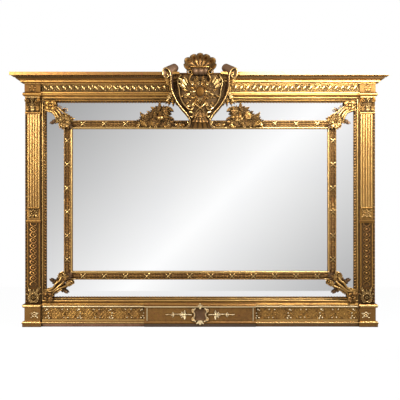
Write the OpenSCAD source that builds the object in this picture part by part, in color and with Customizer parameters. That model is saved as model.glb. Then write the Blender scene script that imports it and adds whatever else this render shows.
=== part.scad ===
// Overmantel mirror: a gilt architectural frame with a margin mirror, pilasters, a cornice and a carved crest.
// Millimetres. Z is up, X runs along the shelf, and the mirror faces -Y.
// Depths, called d, are counted from the wall plane towards the room.

/* [Mirror plates] */
// Width of looking glass seen between the outer mouldings
sight_w = 1690; // [1300:10:2200]
// Height of looking glass seen between the outer mouldings
sight_h = 1070; // [1000:10:1400]
// Thickness of each mirror plate
plate_t = 5; // [3:0.5:7]
// How far a plate runs behind the moulding that holds it
rebate = 10; // [6:1:12]
// Open joint between neighbouring plates
plate_gap = 1; // [0.5:0.5:3]

/* [Slip frame] */
// Width of the margin plates seen at the sides
margin_side = 95; // [70:5:130]
// Height of the margin plate seen above the slip
margin_top = 98; // [80:1:115]
// Height of the margin plate seen below the slip
margin_bottom = 95; // [70:5:130]
// Width of the slip moulding
slip_w = 47; // [40:1:56]
// Width of the plain bright bead along the slip's inner edge
slip_bead_w = 11; // [8:1:14]
// Width of the thin fillet along the slip's outer edge
slip_edge_w = 5; // [3:1:8]
// How far the slip stands in front of the plates
slip_t = 25; // [20:1:30]

/* [Outer mouldings] */
// Diameter of the pearls along the sight edges
pearl_d = 13; // [10:1:15]
// Hollow between the pearls and the next fillet
cove_w = 4; // [3:0.5:6]
// Width of the bright fillet beside the pearls
fillet_w = 12; // [8:1:16]
// Height of the half-round on the sill
sill_bead_h = 12; // [8:1:16]
// Height of the ogee on the sill
sill_ogee_h = 15; // [10:1:20]
// Height of the sill's lowest member
sill_fillet_h = 12; // [8:1:16]

/* [Base] */
// Gap between the shelf and the underside of the base moulding
base_clear = 4; // [2:1:8]
// Height of the base moulding
base_mould_h = 31; // [26:1:40]
// Height of the base frieze
base_frieze_h = 70; // [60:1:90]
// Height of each plinth's foot torus
plinth_foot_h = 35; // [28:1:42]
// Height of each plinth block between its foot and cap
plinth_block_h = 72; // [60:1:90]
// Height of each plinth's cap
plinth_cap_h = 16; // [12:1:22]
// Width of the centre tablet
tablet_w = 607; // [500:1:700]
// How far the tablet's head rises above the base frieze
tablet_rise = 28; // [20:1:32]

/* [Pilasters] */
// Width of each pilaster
pilaster_w = 87; // [80:1:110]
// Number of reeds on each shaft
reed_count = 5; // [4:1:7]
// Plain border between the side moulding and the reeds
reed_border = 5; // [3:1:8]
// Width of the beaded strip along the outer edge
edge_strip_w = 12; // [9:1:15]
// Height of each capital
capital_h = 84; // [76:1:96]
// Height of the ring under each capital
necking_h = 11; // [8:1:14]
// Clear height between the plinth and the guilloche panel
wreath_zone_h = 89; // [80:1:100]
// Height of the guilloche panel
panel_h = 359; // [300:1:400]
// Height of the ledge over the panel
ledge_h = 12; // [8:1:16]
// Clear height between the ledge and the reeds
boss_zone_h = 73; // [66:1:90]
// Outer radius of the leafy boss
boss_r = 27; // [20:1:32]
// Pitch of the rings along the guilloche panel
guilloche_pitch = 30; // [26:1:36]

/* [Entablature] */
// Height of the half-round under the frieze
torus_h = 22; // [18:1:28]
// Height of the egg frieze
frieze_h = 45; // [38:1:56]
// Thickness of the plain ledges above and below the eggs
frieze_ledge_h = 5; // [3:0.5:7]
// Pitch of the eggs
egg_pitch = 34.6; // [30:0.2:40]
// Height of the cornice's lowest hollow
cornice_hollow_h = 10; // [7:1:13]
// Height of the cornice's lower fillet
cornice_fillet_h = 10; // [7:1:13]
// Height of the cornice's cyma
cornice_cyma_h = 12; // [9:1:16]
// Height of the cornice's fluted cove
cornice_cove_h = 15; // [12:1:22]
// Height of the cornice's plain fascia
cornice_fascia_h = 13; // [10:1:18]
// Overhang of the cornice
cornice_out = 73; // [64:1:90]
// Half-width of the gap in the cornice that takes the crest
crest_gap = 112; // [100:1:116]

/* [Depths from the wall] */
// Depth of the pine carcass
carcass_d = 50; // [48:1:60]
// Front of the backboards
backboard_front_d = 38; // [36:1:42]
// Thickness of the backboards
backboard_t = 10; // [8:1:12]
// Back of the rails behind the boards
batten_back_d = 12; // [11:0.5:13]
// Front of the pilaster boards
pilaster_d = 76; // [72:1:82]
// Front of the plinth blocks and frieze blocks
block_d = 96; // [92:1:100]
// Front of the base frieze
base_frieze_d = 78; // [74:1:82]
// Front of the base moulding
base_mould_d = 92; // [88:1:96]
// How far the tablet's plain field stands in front of the base moulding
tablet_proud = 7; // [5:1:10]
// Front of the architrave's half-round between the pilasters
torus_d = 96; // [92:1:98]
// Front of the frieze behind the eggs
frieze_d = 78; // [74:1:82]
// Whole depth, to the front of the crest
overall_d = 188; // [186:1:196]

/* [Hangers] */
// Distance of the hanger rail's lower edge below the top of the glass
hanger_drop = 240; // [200:10:300]
// Height of the hanger rail behind the boards
hanger_rail_h = 90; // [80:1:120]
// Distance of the lower batten above the bottom of the glass
batten_rise = 150; // [100:10:250]
// Distance from the middle to each hanger
hanger_x = 400; // [300:10:500]
// Width of the iron strap
strap_w = 24; // [20:1:30]
// Length of the iron strap below its knuckle
strap_l = 62; // [56:1:70]
// Thickness of the iron strap
strap_t = 2.5; // [2:0.25:3]
// Wire radius of the ring
ring_r = 2.25; // [2:0.05:2.5]
// Radial clearance of the ring in its knuckle
ring_clear = 0.06; // [0.03:0.01:0.1]
// Wall of the knuckle round the ring
knuckle_wall = 1.8; // [1.5:0.1:2]
// Space between the folded ring and the strap
ring_gap = 0.6; // [0.4:0.1:0.8]
// Straight length of the ring's arms
ring_arm = 20; // [16:1:26]
// Shank radius of the hanger screws
screw_r = 2.2; // [1.8:0.1:2.4]
// Length of the hanger screws
screw_l = 14; // [10:1:14]

/* [Hidden] */
$fn = 48;

left = -1;
right = 1;
gilt = "#b8893a";
bright_gilt = "#d9b35c";
dark_gilt = "#7a5726";
silvering = "#c9cdd0";
pine = "#b08d5b";
iron = "#4c4a48";

back_y = overall_d / 2;
curve_steps = 5;

// Places along X, from the middle outwards
sight_x = sight_w / 2;
side_moulding_w = pearl_d + cove_w + fillet_w;
pilaster_in = sight_x + side_moulding_w;
frame_x = pilaster_in + pilaster_w;
plate_x = sight_x + rebate;
carcass_in = plate_x + 1;
pilaster_mid = (pilaster_in + frame_x) / 2;

// Heights, from the shelf upwards
base_top = base_clear + base_mould_h + base_frieze_h;
sill_h = sill_fillet_h + sill_ogee_h + sill_bead_h + cove_w + pearl_d;
sight_z0 = base_top + sill_h;
sight_z1 = sight_z0 + sight_h;
top_step_h = 14;
architrave_z = sight_z1 + pearl_d + cove_w + top_step_h;
frieze_z = architrave_z + torus_h;
cornice_z = frieze_z + frieze_h;
cornice_h = cornice_hollow_h + cornice_fillet_h + cornice_cyma_h + cornice_cove_h + cornice_fascia_h;
top_z = cornice_z + cornice_h;
dust_board_t = 12;
plate_z0 = sight_z0 - rebate;
plate_z1 = sight_z1 + rebate;
carcass_top = top_z - dust_board_t;
plinth_h = plinth_foot_h + plinth_block_h + plinth_cap_h;

// Slip frame
slip_x1 = sight_x - margin_side;
slip_x0 = slip_x1 - slip_w;
slip_z0 = sight_z0 + margin_bottom;
slip_z1 = sight_z1 - margin_top;
plate_front_d = backboard_front_d + plate_t;
slip_edge_t = 13;
slip_d = plate_front_d + slip_t;
slip_joint = slip_w / 2;

// Pilaster heights
capital_z = architrave_z - capital_h;
necking_z = capital_z - necking_h - 1;
panel_z = plinth_h + wreath_zone_h;
ledge_z = panel_z + panel_h;
reed_z = ledge_z + ledge_h + boss_zone_h;
boss_z = ledge_z + ledge_h + boss_zone_h / 2 + 4;
wreath_z = plinth_h + 37;
reed_x0 = pilaster_in + reed_border;
reed_x1 = frame_x - edge_strip_w;
reed_d = (reed_x1 - reed_x0) / reed_count;
panel_floor_d = pilaster_d + 3;
panel_border_d = pilaster_d + 8;
guilloche_mid = (reed_x0 + reed_x1) / 2;

// Crest
crest_foot_z = slip_z1 - slip_w + slip_bead_w;
waist_z = architrave_z - 138;
shell_hinge_z = top_z + 26;
crest_back_d = carcass_d;
crest_body_d = 150;

// ---- Curves and frames of reference ----

// Points of a curve from a to b that is pulled towards c, without its first point
function bend(a, c, b, steps = curve_steps) =
    [for (i = [1:steps]) let (t = i / steps) (1 - t) * (1 - t) * a + 2 * t * (1 - t) * c + t * t * b];

// A half-round that stands out by r from d, over the height z to z + 2 r
function half_round(d, z, r, steps = 10) =
    [for (i = [0:steps]) let (a = -90 + 180 * i / steps) [d + r * cos(a), z + r + r * sin(a)]];

function leaf_outline(l, w) =
    concat([[0, 0]], bend([0, 0], [l * 0.35, w], [l, 0]), bend([l, 0], [l * 0.35, -w], [0, 0], 4));

module on_side(side) {
    mirror([side < 0 ? 1 : 0, 0, 0]) children();
}

// A bar along X whose section is drawn as depth from the wall and height
module run_x(section, x0, x1) {
    translate([x0, 0, 0])
        rotate([90, 0, 90])
            linear_extrude(x1 - x0)
                polygon([for (p = section) [back_y - p[0], p[1]]]);
}

// An upright bar whose section is drawn as X and depth from the wall
module run_z(section, z0, z1) {
    translate([0, 0, z0])
        linear_extrude(z1 - z0)
            polygon([for (p = section) [p[0], back_y - p[1]]]);
}

// A drawing on the front face, raised from depth d0 to d1
module relief(d0, d1) {
    translate([0, back_y - d0, 0])
        rotate([90, 0, 0])
            linear_extrude(d1 - d0)
                children();
}

// A turned piece whose axis points into the room
module turned(x, z, d) {
    translate([x, back_y - d, z]) rotate([90, 0, 0]) children();
}

module slab(x0, x1, z0, z1, d0, d1) {
    translate([x0, back_y - d1, z0]) cube([x1 - x0, d1 - d0, z1 - z0]);
}

// A block whose mouldings run round its front and both ends: out is [stand-out, height]
module returned_block(out, x0, x1, d_face, scale_in, scale_out) {
    z_end = out[len(out) - 1][1];
    z_start = out[0][1];
    intersection() {
        run_x(concat([[0, z_start]], [for (p = out) [d_face + p[0], p[1]]], [[0, z_end]]),
            x0 - 60, x1 + 60 + cornice_out);
        relief(0, d_face + 200)
            polygon(concat(
                [for (p = out) [x1 + scale_out * p[0], p[1]]],
                [for (i = [len(out) - 1:-1:0]) [x0 - scale_in * out[i][0], out[i][1]]]));
    }
}

// ---- Pine carcass ----

tenon_l = 45;
tenon_t = 16;
tenon_d = 17;
tenon_shoulder = 20;
top_rail_z = plate_z1 + 1;
bottom_rail_z = base_clear;
bottom_rail_top = plate_z0 - 1;

module tenon(z0, z1) {
    slab(carcass_in - 1, carcass_in + tenon_l, z0 + tenon_shoulder, z1 - tenon_shoulder,
        tenon_d, tenon_d + tenon_t);
}

module stile(side) {
    color(pine) on_side(side)
        difference() {
            slab(carcass_in, frame_x, 0, carcass_top, 0, carcass_d);
            tenon(top_rail_z, carcass_top);
            tenon(bottom_rail_z, bottom_rail_top);
        }
}

module rail(z0, z1) {
    color(pine) {
        slab(-carcass_in, carcass_in, z0, z1, 0, carcass_d);
        on_side(left) tenon(z0, z1);
        on_side(right) tenon(z0, z1);
    }
}

module top_rail() {
    rail(top_rail_z, carcass_top);
}

module bottom_rail() {
    rail(bottom_rail_z, bottom_rail_top);
}

board_count = 3;
board_gap = 2;

module backboards() {
    board_w = (2 * carcass_in - (board_count + 1) * board_gap) / board_count;
    color(pine)
        for (i = [0:board_count - 1])
            let (x = -carcass_in + board_gap + i * (board_w + board_gap))
                slab(x, x + board_w, plate_z0, plate_z1, backboard_front_d - backboard_t, backboard_front_d);
}

batten_front_d = backboard_front_d - backboard_t;
hanger_rail_z = sight_z1 - hanger_drop;
lower_batten_z = sight_z0 + batten_rise;
lower_batten_h = hanger_rail_h * 2 / 3;

module hanger_rail() {
    color(pine)
        difference() {
            slab(-carcass_in, carcass_in, hanger_rail_z, hanger_rail_z + hanger_rail_h,
                batten_back_d, batten_front_d);
            for (side = [left, right])
                for (z = screw_heights)
                    turned(side * hanger_x, z, batten_back_d - 1)
                        cylinder(h = screw_l + 1, r = screw_r + screw_clear);
        }
}

module lower_batten() {
    color(pine)
        slab(-carcass_in, carcass_in, lower_batten_z, lower_batten_z + lower_batten_h,
            batten_back_d, batten_front_d);
}

dust_board_x = frame_x;

module dust_board() {
    color(pine) slab(-dust_board_x, dust_board_x, carcass_top, top_z, 0, carcass_d);
}

// ---- Iron hangers ----

screw_clear = 0.2;
screw_count = 3;
screw_pitch = strap_l / (screw_count + 1);
screw_head_r = 4.4;
screw_head_t = strap_t / 2;
strap_top_z = hanger_rail_z + hanger_rail_h - 12;
screw_heights = [for (i = [0:screw_count - 1]) strap_top_z - strap_l + screw_pitch * (i + 0.75)];
strap_face_d = batten_back_d - strap_t;
ring_d = strap_face_d - ring_gap - ring_r;
knuckle_r = ring_r + ring_clear + knuckle_wall;
ring_inner_w = strap_w + 2;
ring_arm_x = ring_inner_w / 2 + ring_r;

module strap_hanger(side) {
    color(iron)
        translate([side * hanger_x, 0, 0])
            difference() {
                union() {
                    slab(-strap_w / 2, strap_w / 2, strap_top_z - strap_l, strap_top_z,
                        strap_face_d, batten_back_d);
                    slab(-strap_w / 2, strap_w / 2, strap_top_z - knuckle_r, strap_top_z,
                        ring_d, batten_back_d);
                    translate([-strap_w / 2, back_y - ring_d, strap_top_z])
                        rotate([0, 90, 0])
                            cylinder(h = strap_w, r = knuckle_r);
                }
                translate([-strap_w, back_y - ring_d, strap_top_z])
                    rotate([0, 90, 0])
                        cylinder(h = 2 * strap_w, r = ring_r + ring_clear);
                for (z = screw_heights) {
                    turned(0, z, strap_face_d - 1)
                        cylinder(h = strap_t + 2, r = screw_r + screw_clear);
                    turned(0, z, strap_face_d - 1)
                        cylinder(h = screw_head_t + 1, r = screw_head_r + screw_clear);
                }
            }
}

module hanger_ring(side) {
    color(iron)
        translate([side * hanger_x, back_y - ring_d, strap_top_z]) {
            translate([-ring_arm_x, 0, 0])
                rotate([0, 90, 0])
                    cylinder(h = 2 * ring_arm_x, r = ring_r);
            for (end = [left, right])
                translate([end * ring_arm_x, 0, 0]) {
                    sphere(r = ring_r);
                    translate([0, 0, -ring_arm]) cylinder(h = ring_arm, r = ring_r);
                }
            translate([0, 0, -ring_arm])
                rotate([90, 0, 0])
                    rotate([0, 0, 180])
                        rotate_extrude(angle = 180)
                            translate([ring_arm_x, 0])
                                circle(r = ring_r, $fn = 32);
        }
}

module hanger_screws() {
    color(iron)
        for (side = [left, right])
            for (z = screw_heights) {
                turned(side * hanger_x, z, strap_face_d)
                    cylinder(h = screw_head_t, r = screw_head_r);
                turned(side * hanger_x, z, strap_face_d)
                    cylinder(h = screw_l, r = screw_r);
            }
}

// ---- Mirror plates ----

joint_x = slip_x0 + slip_joint;
joint_z0 = slip_z0 + slip_joint;
joint_z1 = slip_z1 - slip_joint;
mitre_gap = plate_gap / 2;

module plate(points) {
    color(silvering) relief(backboard_front_d, plate_front_d) polygon(points);
}

module plate_main() {
    plate([[-joint_x, joint_z0], [joint_x, joint_z0], [joint_x, joint_z1], [-joint_x, joint_z1]]);
}

module plate_side(side) {
    on_side(side)
        plate([[joint_x + plate_gap, joint_z0], [plate_x, plate_z0 + mitre_gap],
            [plate_x, plate_z1 - mitre_gap], [joint_x + plate_gap, joint_z1]]);
}

module plate_top() {
    plate([[-joint_x, joint_z1 + plate_gap], [joint_x, joint_z1 + plate_gap],
        [plate_x - plate_gap, plate_z1], [-plate_x + plate_gap, plate_z1]]);
}

module plate_bottom() {
    plate([[-joint_x, joint_z0 - plate_gap], [joint_x, joint_z0 - plate_gap],
        [plate_x - plate_gap, plate_z0], [-plate_x + plate_gap, plate_z0]]);
}

// ---- Slip frame ----

// Section of the slip: distance from its inner edge, and depth from the wall
slip_groove_w = 2;
slip_section = concat(
    [[0, plate_front_d], [0, plate_front_d + slip_t - 8]],
    bend([0, plate_front_d + slip_t - 8], [1, slip_d - 2], [slip_bead_w / 2, slip_d - 2]),
    bend([slip_bead_w / 2, slip_d - 2], [slip_bead_w - 1, slip_d - 2], [slip_bead_w, slip_d - 8]),
    [[slip_bead_w + slip_groove_w, slip_d - 8]],
    bend([slip_bead_w + slip_groove_w, slip_d - 8], [slip_w / 2 + 5, slip_d + 5],
        [slip_w - slip_edge_w, plate_front_d + slip_edge_t], 8),
    [[slip_w, plate_front_d + slip_edge_t], [slip_w, plate_front_d]]);

// Keeps what lies inside one mitred side of the slip frame
module slip_mitre(points) {
    relief(0, overall_d) polygon(points);
}

module slip_top() {
    color(gilt) intersection() {
        run_x([for (p = slip_section) [p[1], slip_z1 - slip_w + p[0]]], -slip_x1, slip_x1);
        slip_mitre([[-slip_x0, slip_z1 - slip_w], [slip_x0, slip_z1 - slip_w], [slip_x1, slip_z1],
            [-slip_x1, slip_z1]]);
    }
}

module slip_bottom() {
    color(gilt) intersection() {
        run_x([for (p = slip_section) [p[1], slip_z0 + slip_w - p[0]]], -slip_x1, slip_x1);
        slip_mitre([[-slip_x1, slip_z0], [slip_x1, slip_z0], [slip_x0, slip_z0 + slip_w],
            [-slip_x0, slip_z0 + slip_w]]);
    }
}

module slip_side(side) {
    color(gilt) on_side(side) intersection() {
        run_z([for (p = slip_section) [slip_x0 + p[0], p[1]]], slip_z0, slip_z1);
        slip_mitre([[slip_x0, slip_z0 + slip_w], [slip_x1, slip_z0], [slip_x1, slip_z1],
            [slip_x0, slip_z1 - slip_w]]);
    }
}

// ---- Outer sight mouldings ----

pearl_bed_d = carcass_d + 1;
side_fillet_d = carcass_d + 14;
sill_bead_d = carcass_d + 20;
sill_fillet_d = carcass_d + 34;
top_step_d = carcass_d + 28;

// Section from the sight edge outwards over the pearls: distance from the edge, and depth
function pearl_section(grow) = concat(
    [[0, plate_front_d], [0, pearl_bed_d]],
    [for (p = half_round(pearl_bed_d, 0, pearl_d / 2)) [p[1], p[0]]],
    [[pearl_d, pearl_bed_d]],
    bend([pearl_d, pearl_bed_d], [pearl_d + cove_w, pearl_bed_d], [pearl_d + cove_w, pearl_bed_d + grow]));

lip_w = rebate + 1;

module sight_side(side) {
    section = concat(pearl_section(6),
        bend([pearl_d + cove_w, side_fillet_d - 4], [pearl_d + cove_w, side_fillet_d],
            [pearl_d + cove_w + fillet_w / 2, side_fillet_d]),
        bend([pearl_d + cove_w + fillet_w / 2, side_fillet_d], [side_moulding_w, side_fillet_d],
            [side_moulding_w, side_fillet_d - 4]),
        [[side_moulding_w, carcass_d], [lip_w, carcass_d], [lip_w, plate_front_d]]);
    color(bright_gilt) on_side(side)
        run_z([for (p = section) [sight_x + p[0], p[1]]], sight_z0, sight_z1);
}

module sight_top() {
    step_z = pearl_d + cove_w;
    top_w = step_z + top_step_h;
    section = concat(pearl_section(6),
        bend([step_z, pearl_bed_d + 6], [step_z, top_step_d - 8], [step_z + top_step_h / 2, top_step_d - 8]),
        [[step_z + top_step_h / 2, top_step_d], [top_w, top_step_d], [top_w, carcass_d], [lip_w, carcass_d],
            [lip_w, plate_front_d]]);
    color(gilt)
        difference() {
            run_x([for (p = section) [p[1], sight_z1 + p[0]]], -pilaster_in, pilaster_in);
            for (side = [left, right])
                on_side(side) slab(carcass_in, frame_x, 0, top_z, 0, carcass_d);
        }
}

module sill() {
    bead_z = pearl_d + cove_w;
    ogee_z = bead_z + sill_bead_h;
    fillet_z = ogee_z + sill_ogee_h;
    section = concat(pearl_section(4),
        [for (p = half_round(sill_bead_d - sill_bead_h / 2, bead_z, sill_bead_h / 2)) [p[1], p[0]]],
        bend([ogee_z, sill_bead_d - 4], [ogee_z, sill_fillet_d - 6], [fillet_z, sill_fillet_d - 6]),
        [[fillet_z, sill_fillet_d], [sill_h, sill_fillet_d], [sill_h, carcass_d], [lip_w, carcass_d],
            [lip_w, plate_front_d]]);
    color(gilt)
        difference() {
            run_x([for (p = section) [p[1], sight_z0 - p[0]]], -pilaster_in, pilaster_in);
            for (side = [left, right])
                on_side(side) {
                    slab(base_run_x, frame_x, 0, plinth_h + 0.3, 0, overall_d);
                    slab(carcass_in, frame_x, 0, top_z, 0, carcass_d);
                }
        }
}

// ---- Pilasters ----

edge_strip_d = pilaster_d - 6;
edge_bead_r = 5;
necking_d = pilaster_d + 16;

module pilaster(side) {
    color(gilt) on_side(side) {
        slab(pilaster_in, reed_x1, plinth_h, architrave_z, carcass_d, pilaster_d);
        slab(reed_x1, frame_x, plinth_h, architrave_z, carcass_d, edge_strip_d);
        intersection() {
            translate([reed_x1 + edge_strip_w / 2, back_y - edge_strip_d, plinth_h])
                cylinder(h = architrave_z - plinth_h, r = edge_bead_r);
            slab(reed_x1, frame_x, plinth_h, necking_z, carcass_d, overall_d);
        }
        run_x(concat([[pilaster_d, necking_z]],
            half_round(necking_d - necking_h / 2, necking_z, necking_h / 2),
            [[pilaster_d, necking_z + necking_h]]), pilaster_in + 2, reed_x1 + edge_strip_w - 2);
    }
}

module reeding(side) {
    shaft_h = necking_z - reed_z;
    reed_r = reed_d / 2;
    bed_t = 4;
    color(bright_gilt) on_side(side) {
        slab(reed_x0, reed_x1, reed_z, reed_z + shaft_h, pilaster_d, pilaster_d + bed_t);
        for (i = [0:reed_count - 1])
            intersection() {
                translate([reed_x0 + reed_r + i * reed_d, back_y - pilaster_d - bed_t, reed_z])
                    cylinder(h = shaft_h, r = reed_r);
                slab(reed_x0, reed_x1, reed_z, reed_z + shaft_h, pilaster_d, pilaster_d + bed_t + reed_d);
            }
    }
}

module capital(side) {
    bell_x0 = reed_x0 + 8;
    bell_x1 = reed_x1 + 4;
    bell_mid = (bell_x0 + bell_x1) / 2;
    bell_d = pilaster_d + 14;
    volute_r = 14;
    volute_z = architrave_z - 24;
    color(gilt) on_side(side) {
        run_x(concat([[pilaster_d, capital_z]],
            bend([bell_d - 4, capital_z], [bell_d - 2, architrave_z - 30], [bell_d + 12, architrave_z - 12]),
            [[bell_d + 12, architrave_z], [pilaster_d, architrave_z]]), bell_x0, bell_x1);
        slab(reed_x0 - 2, frame_x - 4, architrave_z - 11, architrave_z, pilaster_d, bell_d + 14);
        for (x = [reed_x0 + volute_r - 2, reed_x1 - volute_r + 7])
            turned(x, volute_z, pilaster_d) {
                cylinder(h = bell_d - pilaster_d + 12, r = volute_r);
                cylinder(h = bell_d - pilaster_d + 16, r = volute_r / 2);
            }
        for (lean = [-24, 0, 24])
            translate([bell_mid, 0, 0])
                relief(bell_d - 6, bell_d + 6 + (lean == 0 ? 6 : 0))
                    translate([0, capital_z])
                        rotate([0, 0, 90 + lean])
                            polygon(leaf_outline(capital_h * 0.72, 15));
    }
}

module boss(side) {
    leaf_count = 8;
    color(dark_gilt) on_side(side) {
        turned(guilloche_mid, boss_z, pilaster_d) {
            cylinder(h = 12, r1 = boss_r - 3, r2 = boss_r - 6);
            translate([0, 0, 12]) cylinder(h = 8, r1 = boss_r - 14, r2 = boss_r - 18);
        }
        translate([guilloche_mid, 0, boss_z])
            relief(pilaster_d, pilaster_d + 8)
                for (i = [0:leaf_count - 1])
                    rotate([0, 0, 360 * i / leaf_count])
                        polygon(leaf_outline(boss_r, 12));
    }
}

module panel(side) {
    border_w = 7;
    ring_w = 6;
    ring_d0 = panel_floor_d;
    x0 = reed_x0;
    x1 = reed_x1;
    rings = floor((panel_h - 2 * border_w) / guilloche_pitch);
    ring_start = panel_z + (panel_h - (rings - 1) * guilloche_pitch) / 2;
    ring_r0 = min(guilloche_pitch * 0.62, (x1 - x0) / 2 - border_w - 1);
    color(gilt) on_side(side) {
        slab(x0, x1, panel_z, ledge_z, pilaster_d, panel_floor_d);
        slab(x0, x0 + border_w, panel_z, ledge_z, pilaster_d, panel_border_d);
        slab(x1 - border_w, x1, panel_z, ledge_z, pilaster_d, panel_border_d);
        slab(x0, x1, panel_z, panel_z + border_w, pilaster_d, panel_border_d);
        slab(pilaster_in + 1, reed_x1 + 4, ledge_z, ledge_z + ledge_h, pilaster_d, panel_border_d + 10);
        for (i = [0:rings - 1])
            turned(guilloche_mid, ring_start + i * guilloche_pitch, ring_d0)
                difference() {
                    cylinder(h = 4 + i % 2, r = ring_r0);
                    translate([0, 0, -1]) cylinder(h = 8, r = ring_r0 - ring_w);
                }
        wreath();
    }
}

module wreath() {
    wreath_r = 27;
    leaf_count = 5;
    translate([guilloche_mid, 0, wreath_z]) {
        turned(0, 0, pilaster_d) {
            difference() {
                cylinder(h = 12, r = wreath_r);
                translate([0, 0, 6]) cylinder(h = 8, r = wreath_r - 10);
            }
            cylinder(h = 14, r = 8);
        }
        relief(pilaster_d, pilaster_d + 9)
            for (i = [0:leaf_count - 1])
                rotate([0, 0, 90 + 24 * (i - (leaf_count - 1) / 2)])
                    translate([wreath_r * 0.7, 0])
                        polygon(leaf_outline(wreath_zone_h - 37 - wreath_r * 0.7, 9));
    }
}

// ---- Plinths and base ----

plinth_lip = 10;
plinth_lip_in = 0.6;
plinth_lip_out = 1.4;
plinth_block_d = block_d + 4;
// Stand-out of the plinth's foot, block and cap, and the height of each point
plinth_out = let (foot = plinth_foot_h, block = plinth_foot_h + plinth_block_h) concat(
    [[plinth_lip - 2, 0], [plinth_lip - 2, 16]],
    bend([plinth_lip - 2, 16], [plinth_lip + 3, 21], [plinth_lip - 2, 27]),
    bend([plinth_lip - 4, 27], [0, 29], [0, foot]),
    [[0, block]],
    bend([0, block], [plinth_lip + 4, block + plinth_cap_h / 2], [plinth_lip - 4, plinth_h]));

module plinth(side) {
    flower_z = plinth_foot_h + plinth_block_h / 2;
    flower_x = pilaster_mid - 7;
    petal_count = 6;
    color(gilt) on_side(side) {
        difference() {
            returned_block(plinth_out, pilaster_in, frame_x, plinth_block_d, plinth_lip_in, plinth_lip_out);
            slab(0, frame_x, -1, plinth_h + 1, -1, carcass_d);
        }
        for (i = [0:petal_count - 1])
            turned(flower_x + 12 * cos(60 * i), flower_z + 12 * sin(60 * i), plinth_block_d)
                cylinder(h = 5, r = 7);
        turned(flower_x, flower_z, plinth_block_d) cylinder(h = 8, r = 6);
    }
}

base_run_x = pilaster_in - plinth_lip_in * (plinth_lip + 2);

module base_frieze() {
    motif_pitch = 88;
    motif_t = 5;
    first_x = tablet_w / 2 + 44;
    motifs = floor((base_run_x - first_x - 20) / motif_pitch);
    mid_z = base_top - base_frieze_h / 2;
    color(dark_gilt) {
        slab(-pilaster_in, pilaster_in, base_top - base_frieze_h, base_top, carcass_d, base_frieze_d);
        for (side = [left, right])
            on_side(side)
                for (i = [0:motifs])
                    translate([first_x + i * motif_pitch, 0, mid_z])
                        if (i % 2 == 0)
                            turned(0, 0, base_frieze_d)
                                difference() {
                                    cylinder(h = motif_t, r = 24);
                                    translate([0, 0, -1]) cylinder(h = motif_t + 2, r = 17);
                                }
                        else
                            for (z = [-21, -7, 7, 21])
                                turned(0, z, base_frieze_d) cylinder(h = motif_t, r = 6);
    }
}

module base_moulding() {
    top = base_clear + base_mould_h;
    bead_r = 5;
    bead_z = base_clear + 14;
    section = concat(
        [[carcass_d, base_clear], [base_mould_d - 2, base_clear], [base_mould_d - 2, bead_z - 1],
            [base_mould_d - bead_r, bead_z]],
        half_round(base_mould_d - bead_r, bead_z, bead_r),
        bend([base_mould_d - bead_r, bead_z + 2 * bead_r], [base_frieze_d, bead_z + 2 * bead_r],
            [base_frieze_d, top]),
        [[carcass_d, top]]);
    color(dark_gilt) run_x(section, -base_run_x, base_run_x);
}

tablet_lip = 7;
tablet_plain_h = 13;
tablet_bead_h = 11;
tablet_d = base_mould_d + tablet_proud;
tablet_x = tablet_w / 2 - tablet_lip;
// Stand-out of the tablet's mouldings, and the height of each point
tablet_out = let (
        foot = base_clear + base_mould_h,
        head = base_top,
        bead_z0 = base_clear + tablet_plain_h,
        bead_z1 = bead_z0 + tablet_bead_h,
        face = tablet_lip - 2) concat(
    [[face, base_clear - 2], [face, bead_z0]],
    bend([face, bead_z0], [tablet_lip + 4, (bead_z0 + bead_z1) / 2], [face, bead_z1]),
    bend([face - 2, bead_z1], [0, bead_z1], [0, foot]),
    [[0, head]],
    bend([0, head], [2, head + 14], [tablet_lip, head + 16]),
    [[tablet_lip, head + tablet_rise]]);

module centre_tablet() {
    gap = 0.3;
    color(gilt)
        difference() {
            returned_block(tablet_out, -tablet_x, tablet_x, tablet_d, 1, 1);
            slab(-tablet_w, tablet_w, -1, base_clear + base_mould_h, -1, base_mould_d + gap);
            slab(-tablet_w, tablet_w, base_clear, base_top, -1, base_frieze_d);
            slab(-tablet_w, tablet_w, base_top - gap, top_z, -1, sill_fillet_d);
        }
}

module tablet_cartouche() {
    mid_z = base_top - base_frieze_h / 2 - 2;
    field_w = 30;
    field_h = 66;
    scroll_r = 13;
    color(bright_gilt) {
        relief(tablet_d, tablet_d + 4)
            translate([-field_w, mid_z - field_h / 2]) square([2 * field_w, field_h]);
        for (side = [left, right])
            on_side(side) {
                for (end = [left, right])
                    turned(field_w + 4, mid_z + end * (field_h / 2 - scroll_r + 2), tablet_d)
                        difference() {
                            cylinder(h = 9, r = scroll_r);
                            translate([0, 0, 5]) cylinder(h = 6, r = scroll_r - 6);
                        }
                translate([84, 0, mid_z])
                    relief(tablet_d, tablet_d + 3)
                        for (turn = [90, -90])
                            rotate([0, 0, turn]) polygon(leaf_outline(25, 9));
            }
        relief(tablet_d + tablet_lip + 1, tablet_d + tablet_lip + 7)
            for (turn = [60, 90, 120])
                translate([0, base_top - 4]) rotate([0, 0, turn]) polygon(leaf_outline(32, 11));
        slab(-8, 8, base_top - 12, base_top + 4, tablet_d + 4, tablet_d + tablet_lip + 7);
        slab(-16, 16, base_clear + 28, mid_z - field_h / 2 + 4, tablet_d + tablet_lip + 3, tablet_d + tablet_lip + 8);
        slab(-8, 8, mid_z - field_h / 2, mid_z - field_h / 2 + 10, tablet_d + 4, tablet_d + tablet_lip + 8);
    }
}

// ---- Architrave, frieze and cornice ----

abacus_lip = 10;
abacus_d = block_d + 6;

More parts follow.
